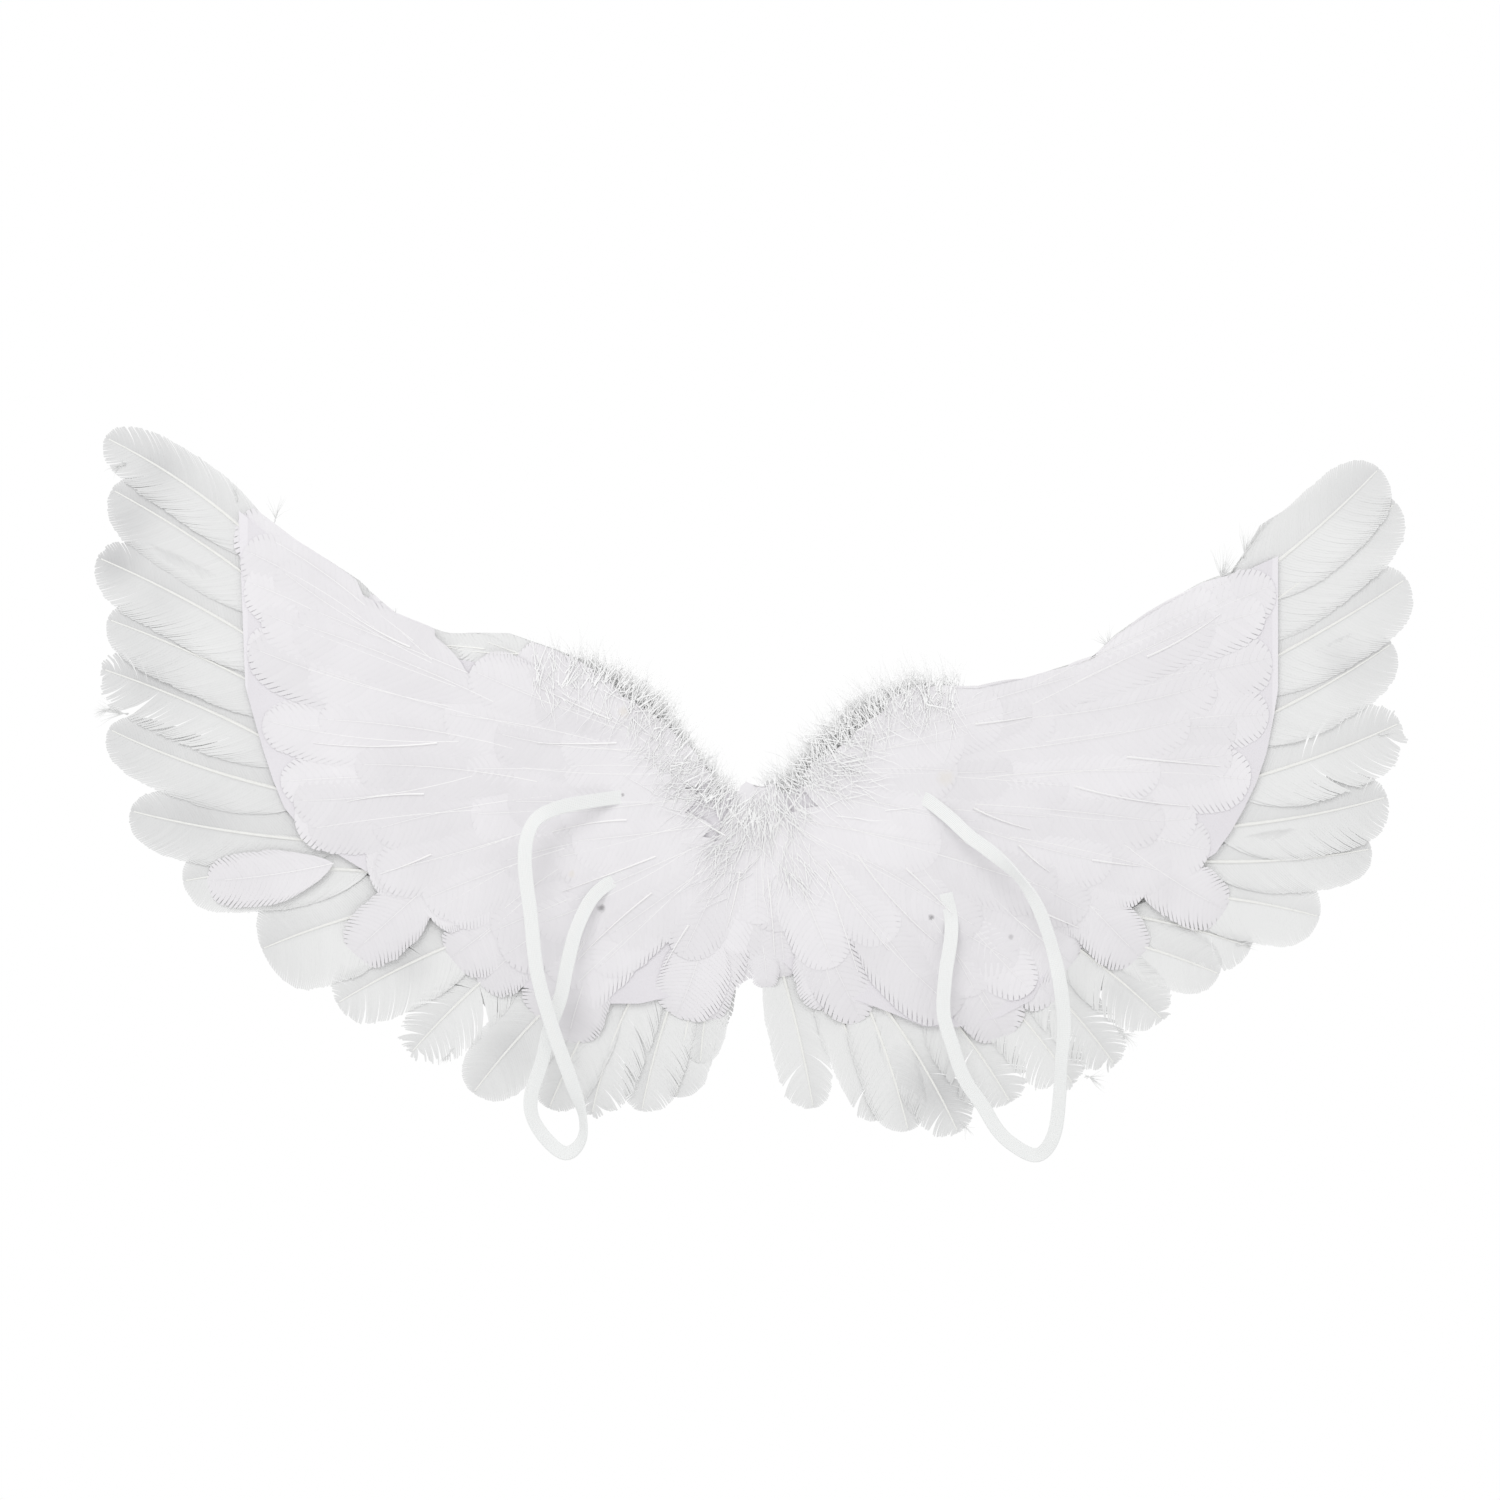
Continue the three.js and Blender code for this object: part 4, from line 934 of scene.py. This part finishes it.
lining_vane = feather_finish(
    "lining_vane", LINING_DARK, LINING_LIGHT, 0.08, 0.28, {"Specular IOR Level": 0.1}, LINING_MARKS,
)
lining_quill = quill_finish("lining_quill", LINING_LIGHT, QUILL_LIGHT)
for wing, side in (("left", -1), ("right", 1)):
    for number, row in enumerate(LINING_ROWS):
        chance = np.random.default_rng(300 + 10 * number + side)
        heap = Heap()
        shares = np.interp(
            np.linspace(0, 1, row["count"]), np.linspace(0, 1, len(row["stations"])),
            [station.get("long", 1) for station in row["stations"]],
        )
        for course, shift in enumerate(LINING_COURSES):
            roots, ways = row_places(row["stations"], row["count"], side)
            for index, (root, way) in enumerate(zip(roots, ways)):
                turn = chance.normal(0, 0.07)
                way = np.array([way[0] - way[1] * turn, way[1] + way[0] * turn])
                start = root + way * (shift + chance.uniform(-9, 9) * MM)
                length = row["length"] * shares[index] * chance.uniform(0.8, 1.0)
                low = abs(way[0]) < 0.85
                length = length_on_card(start, way, length, chance.uniform(*OVERHANG) if low else -2 * MM)
                width = LINING_WIDTH * chance.uniform(0.85, 1.1)
                depth = row["depth"] - COURSE_STEP * (course + 0.3 * (index % 3))
                kind = LOW_LINING if low and not over_card(start + way * length) else LINING
                tone = chance.uniform(0.74, 0.9)
                add_small_feather(heap, wing, chance, kind, start, way, length, width, depth, tone)
        for shown in SHOWN_QUILLS[wing]:
            if shown["row"] != row["name"]:
                continue
            root = np.array([side * shown["out"] * REACH, shown["up"] * HEIGHT])
            end = np.array([side * shown["end_out"] * REACH, shown["end_up"] * HEIGHT])
            span = np.hypot(*(end - root))
            way = (end - root) / span
            depth = row["depth"] - 4 * COURSE_STEP
            seat = small_seat(wing, chance, LINING, root, way, span, LINING_WIDTH, depth)
            add_quill(heap, seat, SHOWN_QUILL, 0, 1, 9, 5)
        if row["name"] == "outer_lining":
            for loose in LOOSE_FEATHERS[wing]:
                root = np.array([side * loose["out"] * REACH, loose["up"] * HEIGHT])
                rise = math.radians(loose["rise"])
                way = np.array([side * math.cos(rise), math.sin(rise)])
                add_small_feather(
                    heap, wing, chance, LOW_LINING, root, way,
                    loose["length"], loose["width"], row["depth"], LOOSE_LINING_TONE,
                )
        heap.piece(f"{wing}_{row['name']}_barbs", f"{wing}_{row['name']}",
                   [lining_vane, lining_quill])

# Down trim. A strip of loose white down is glued along the top edge beside the middle. Its soft
# strands stand up over the edge, hang over the display side, and some fold over to the wearer's side.
TRIM_DEPTH = 5.5 * MM
# The strands of the strip: how many, how thick, which way they stand, how far they lean to the display
# side, where they start along and across the strip, and how long they are. Lengths are in millimetres.
STRAND_LAYERS = [
    {
        "count": 520, "thick": 0.5, "stand": 1, "lean": (-0.03, 0.1), "from": (-8, 5),
        "depth": (-7.2, -4), "long": (14, 22),
    },
    {
        "count": 650, "thick": 0.3, "stand": 1, "lean": (-0.03, 0.25), "from": (-8, 9),
        "depth": (-7, 2), "long": (9, 16),
    },
    {
        "count": 600, "thick": 0.3, "stand": -1, "lean": (0.05, 0.5), "from": (-11, 4),
        "depth": (1, 4), "long": (9, 16),
    },
    {
        "count": 330, "thick": 0.28, "stand": -1, "lean": (-0.02, 0.02), "from": (-14, 13),
        "depth": (-7.3, -6.9), "long": (10, 24),
    },
]
# Soft patches of down on the wearer's side, near the middle of the wings.
DOWN_PATCHES = {
    "left": [
        {"out": 0.015, "up": 0.05, "rise": -85, "radius": 9 * MM, "count": 50},
        {"out": 0.05, "up": 0.0, "rise": -45, "radius": 12 * MM, "count": 60},
        {"out": 0.1, "up": 0.09, "rise": 5, "radius": 12 * MM, "count": 40},
    ],
    "right": [
        {"out": 0.02, "up": 0.055, "rise": -70, "radius": 10 * MM, "count": 50},
        {"out": 0.11, "up": 0.12, "rise": -10, "radius": 18 * MM, "count": 80},
        {"out": 0.05, "up": -0.02, "rise": -75, "radius": 11 * MM, "count": 50},
    ],
}
PATCH_LONG = (14 * MM, 26 * MM)
PATCH_THICK = 0.28 * MM
PAD_SIDES = 10
PAD_STEPS = 60
PAD_HALF_WIDTH = 11 * MM
PAD_HALF_DEPTH = 3.2 * MM
DOWN_DARK = (0.92, 0.92, 0.923, 1)
DOWN_LIGHT = (0.99, 0.99, 0.99, 1)
TRIM_PATHS = {
    "left": [
        {"out": 0.345, "up": 0.25, "rise": 94},
        {"out": 0.265, "up": 0.252, "rise": 84},
        {"out": 0.185, "up": 0.214, "rise": 58},
        {"out": 0.118, "up": 0.127, "rise": 48},
        {"out": 0.058, "up": 0.06, "rise": 50},
        {"out": 0.01, "up": 0.035, "rise": 60},
    ],
    "right": [
        {"out": 0.3, "up": 0.216, "rise": 94},
        {"out": 0.23, "up": 0.221, "rise": 88},
        {"out": 0.152, "up": 0.187, "rise": 66},
        {"out": 0.089, "up": 0.124, "rise": 56},
        {"out": 0.04, "up": 0.08, "rise": 60},
        {"out": 0.01, "up": 0.055, "rise": 80},
    ],
}


def add_pad(heap, roots, ways):
    """The soft backing that the strands grow out of."""
    turn = np.linspace(0, 2 * math.pi, PAD_SIDES, endpoint=False)
    ends = np.sin(np.linspace(0.15, math.pi - 0.15, len(roots))) ** 0.4
    up = PAD_HALF_WIDTH * ends[:, None] * np.cos(turn)
    deep = TRIM_DEPTH + PAD_HALF_DEPTH * ends[:, None] * np.sin(turn)
    x = roots[:, :1] + ways[:, :1] * up
    z = roots[:, 1:] + ways[:, 1:] * up
    rings = np.stack([x, deep, z], -1)[None]
    heap.add(rings, np.full(rings.shape[:-1] + (2,), 0.5), np.ones(rings.shape[:-1]), VANE)


loose_down = feather_finish(
    "loose_down", DOWN_DARK, DOWN_LIGHT, 0.1, 0.1,
    {"Specular IOR Level": 0.1, "Sheen Weight": 0.45, "Sheen Roughness": 0.6},
)

STRIP_PLACES = 200


def add_patch(heap, side, chance, patch):
    """A soft patch of down that lies on the lining."""
    count = patch["count"]
    middle = np.array([side * patch["out"] * REACH, 0, patch["up"] * HEIGHT])
    root = middle + chance.normal(0, 0.6, (count, 3)) * (patch["radius"], 0, patch["radius"])
    root[:, 1] = -chance.uniform(1.5, 2.1, count) * MM
    angle = np.radians(patch["rise"] + chance.normal(0, 22, count))
    way = np.stack([side * np.cos(angle), chance.uniform(-0.02, 0.01, count), np.sin(angle)], -1)
    add_strands(heap, chance, root, way, chance.uniform(*PATCH_LONG, count), 0.15, PATCH_THICK)


for wing, side in (("left", -1), ("right", 1)):
    chance = np.random.default_rng(400 + side)
    stations = [{**row, "rise": 180 - row["rise"]} for row in TRIM_PATHS[wing]]
    roots, ways = row_places(stations, STRIP_PLACES, side)
    clump = chance.normal(0, 0.38, (STRIP_PLACES, 3))
    taper = 1 - 0.15 * np.linspace(0, 1, STRIP_PLACES) ** 3
    reach = taper * chance.uniform(0.75, 1.1, STRIP_PLACES)
    heap = Heap()
    add_pad(heap, *row_places(stations, PAD_STEPS, side))
    for layer in STRAND_LAYERS:
        count = layer["count"]
        spot = (chance.beta(1.15, 1, count) * STRIP_PLACES).astype(int)
        up = np.stack([ways[spot, 0], np.zeros(count), ways[spot, 1]], -1)
        place = np.stack([roots[spot, 0], np.full(count, TRIM_DEPTH), roots[spot, 1]], -1)
        place += up * chance.uniform(*layer["from"], (count, 1)) * MM
        place[:, 1] += chance.uniform(*layer["depth"], count) * MM
        way = up * layer["stand"] + clump[spot] * (1, 0.2, 1)
        way = way + chance.normal(0, 0.14, (count, 3)) * (1, 0.3, 1)
        way[:, 1] += chance.uniform(*layer["lean"], count)
        lengths = chance.uniform(*layer["long"], count) * reach[spot] * MM
        add_strands(heap, chance, place, way, lengths, 0.2, layer["thick"] * MM)
    for patch in DOWN_PATCHES[wing]:
        add_patch(heap, side, chance, patch)
    heap.piece(f"{wing}_down_trim_strands", f"{wing}_down_trim", [loose_down, loose_down])

# Arm loops. Two loops of flat woven elastic, 7 mm wide, with fine ribs along them. Both ends of each
# are glued under the lining, and the loose run twists once before it comes back.
STRAP_WIDTH = 7 * MM
STRAP_THICKNESS = 1.2 * MM
STRAP_SPREAD = 66.5 * MM
STRAP_DROP = 177 * MM
STRAP_BOW = 30 * MM
STRAP_GAP = 0.3 * MM
STRAP_STEPS = 240
STRAP_RIBS = 9
STRAP_STARTS = {"left": {"out": 0.215, "up": 0.075}, "right": {"out": 0.255, "up": 0.07}}
STRAP_ROUTES = {
    "left": [
        {"across": -0.11, "down": 0, "off": -0.015, "turn": 0},
        {"across": 0, "down": 0, "off": 0, "turn": 0},
        {"across": 0.205, "down": 0.01, "off": 0.2, "turn": 0},
        {"across": 0.455, "down": 0.03, "off": 0.45, "turn": 0},
        {"across": 0.62, "down": 0.07, "off": 0.62, "turn": 15},
        {"across": 0.68, "down": 0.165, "off": 0.75, "turn": 0},
        {"across": 0.63, "down": 0.33, "off": 0.9, "turn": 0},
        {"across": 0.58, "down": 0.485, "off": 1, "turn": 0},
        {"across": 0.47, "down": 0.635, "off": 1, "turn": 0},
        {"across": 0.33, "down": 0.785, "off": 0.95, "turn": 10},
        {"across": 0.25, "down": 0.88, "off": 0.88, "turn": 55},
        {"across": 0.255, "down": 0.95, "off": 0.82, "turn": 50},
        {"across": 0.365, "down": 0.99, "off": 0.76, "turn": 20},
        {"across": 0.5, "down": 0.96, "off": 0.7, "turn": 20},
        {"across": 0.62, "down": 0.895, "off": 0.66, "turn": 30},
        {"across": 0.635, "down": 0.83, "off": 0.62, "turn": 10},
        {"across": 0.555, "down": 0.735, "off": 0.58, "turn": 0},
        {"across": 0.505, "down": 0.65, "off": 0.55, "turn": 0},
        {"across": 0.42, "down": 0.56, "off": 0.5, "turn": 0},
        {"across": 0.37, "down": 0.465, "off": 0.42, "turn": 0},
        {"across": 0.305, "down": 0.37, "off": 0.3, "turn": 0},
        {"across": 0.205, "down": 0.29, "off": 0.14, "turn": 0},
        {"across": 0.08, "down": 0.245, "off": 0, "turn": 0},
        {"across": -0.08, "down": 0.215, "off": -0.015, "turn": 0},
    ],
    "right": [
        {"across": -0.11, "down": -0.02, "off": -0.015, "turn": 0},
        {"across": 0, "down": 0, "off": 0, "turn": 0},
        {"across": 0.15, "down": 0.045, "off": 0.15, "turn": 0},
        {"across": 0.305, "down": 0.1, "off": 0.35, "turn": 0},
        {"across": 0.465, "down": 0.145, "off": 0.5, "turn": 10},
        {"across": 0.65, "down": 0.21, "off": 0.65, "turn": 55},
        {"across": 0.795, "down": 0.295, "off": 0.8, "turn": 30},
        {"across": 0.895, "down": 0.405, "off": 0.9, "turn": 30},
        {"across": 0.95, "down": 0.505, "off": 1, "turn": 0},
        {"across": 0.98, "down": 0.62, "off": 1, "turn": 10},
        {"across": 0.96, "down": 0.725, "off": 0.95, "turn": 35},
        {"across": 0.95, "down": 0.82, "off": 0.9, "turn": 30},
        {"across": 0.92, "down": 0.915, "off": 0.85, "turn": 20},
        {"across": 0.85, "down": 0.97, "off": 0.8, "turn": 10},
        {"across": 0.755, "down": 0.985, "off": 0.75, "turn": 10},
        {"across": 0.605, "down": 0.955, "off": 0.7, "turn": 10},
        {"across": 0.495, "down": 0.915, "off": 0.65, "turn": 10},
        {"across": 0.39, "down": 0.85, "off": 0.6, "turn": 0},
        {"across": 0.255, "down": 0.775, "off": 0.55, "turn": 0},
        {"across": 0.17, "down": 0.685, "off": 0.5, "turn": 0},
        {"across": 0.105, "down": 0.595, "off": 0.42, "turn": 0},
        {"across": 0.12, "down": 0.49, "off": 0.32, "turn": 0},
        {"across": 0.165, "down": 0.39, "off": 0.14, "turn": 0},
        {"across": 0.17, "down": 0.33, "off": 0, "turn": 0},
        {"across": 0.13, "down": 0.26, "off": -0.015, "turn": 0},
    ],
}

strap_finish = Finish("woven_elastic", {"Specular IOR Level": 0.25})
strap_map = strap_finish.node("ShaderNodeUVMap", {"uv_map": "weave"}, {})
strap_across = strap_finish.node("ShaderNodeSeparateXYZ", {}, {0: strap_map}, output=0)
strap_along = strap_finish.node("ShaderNodeSeparateXYZ", {}, {0: strap_map}, output=1)
strap_ribs = strap_finish.node(
    "ShaderNodeMath", {"operation": "SINE"}, {0: strap_across * (STRAP_RIBS * 6.283)},
)
strap_picks = strap_finish.node("ShaderNodeMath", {"operation": "SINE"}, {0: strap_along * 6283.0})
strap_weave = strap_ribs * 0.5 + strap_picks * 0.25
strap_finish.wear(
    Base_Color=strap_finish.tint(0.6 + 0.25 * strap_weave, (0.84, 0.85, 0.845, 1), (0.95, 0.96, 0.955, 1)),
    Roughness=0.62 + 0.1 * strap_weave,
    Normal=strap_finish.bump(strap_weave, 0.5, 0.0002),
)


def smooth_route(table, steps):
    """Even steps along the smooth curve through the rows of a table."""
    padded = np.vstack([2 * table[0] - table[1], table, 2 * table[-1] - table[-2]])
    spans = []
    for index in range(len(table) - 1):
        a, b, c, d = padded[index:index + 4]
        t = np.linspace(0, 1, 40, endpoint=False)[:, None]
        spans.append(b + 0.5 * t * (c - a + t * (2 * a - 5 * b + 4 * c - d + t * (3 * (b - c) + d - a))))
    fine = np.vstack(spans + [table[-1:]])
    gone = np.concatenate([[0], np.cumsum(np.linalg.norm(np.diff(fine[:, :3], axis=0), axis=1))])
    wanted = np.linspace(0, gone[-1], steps)
    return np.stack([np.interp(wanted, gone, column) for column in fine.T], -1)


def strap_piece(wing, side):
    start = STRAP_STARTS[wing]
    rows = []
    for row in STRAP_ROUTES[wing]:
        x = side * (start["out"] * REACH + row["across"] * STRAP_SPREAD)
        y = -(STRAP_GAP + STRAP_THICKNESS / 2) - row["off"] * STRAP_BOW
        z = start["up"] * HEIGHT - row["down"] * STRAP_DROP
        rows.append([x, y, z, math.radians(row["turn"])])
    route = smooth_route(np.array(rows), STRAP_STEPS)
    centre, turn = route[:, :3], route[:, 3:]
    tangent = np.gradient(centre, axis=0)
    tangent /= np.linalg.norm(tangent, axis=1, keepdims=True)
    wide = np.cross(tangent, [0.0, 1.0, 0.0])
    wide /= np.linalg.norm(wide, axis=1, keepdims=True)
    wide = wide * np.cos(turn) + np.cross(tangent, wide) * np.sin(turn)
    bpy.ops.object.select_all(action="DESELECT")
    bpy.ops.mesh.primitive_grid_add(x_subdivisions=STRAP_RIBS + 1, y_subdivisions=STRAP_STEPS - 1, size=1)
    strap = bpy.context.object
    strap.name = f"{wing}_strap_elastic"
    flat = np.array([vertex.co for vertex in strap.data.vertices])
    step = np.rint((flat[:, 1] + 0.5) * (STRAP_STEPS - 1)).astype(int)
    aside = flat[:, 0] * STRAP_WIDTH
    placed = centre[step] + wide[step] * aside[:, None]
    strap.data.vertices.foreach_set("co", placed.ravel())
    length = np.linalg.norm(np.diff(centre, axis=0), axis=1).sum()
    weave = strap.data.uv_layers[0]
    weave.name = "weave"
    corners = np.empty(len(strap.data.loops), dtype=np.int32)
    strap.data.loops.foreach_get("vertex_index", corners)
    woven = np.stack([flat[:, 0] + 0.5, step / (STRAP_STEPS - 1) * length], -1)[corners]
    weave.uv.foreach_set("vector", woven.astype(np.float32).ravel())
    strap.data.update()
    solid = strap.modifiers.new("band", "SOLIDIFY")
    solid.thickness = STRAP_THICKNESS * 0.8
    solid.offset = 0
    round_edge = strap.modifiers.new("edge", "BEVEL")
    round_edge.width = 0.25 * MM
    round_edge.segments = 2
    for modifier in ("band", "edge"):
        bpy.ops.object.modifier_apply(modifier=modifier)
    bpy.ops.object.shade_smooth_by_angle(angle=math.radians(50))
    strap.data.materials.append(strap_finish.material)
    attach(strap, "root")
    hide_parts(f"{wing}_strap")
    return length


strap_lengths = {wing: strap_piece(wing, side) for wing, side in (("left", -1), ("right", 1))}
print("strap lengths in metres", strap_lengths)
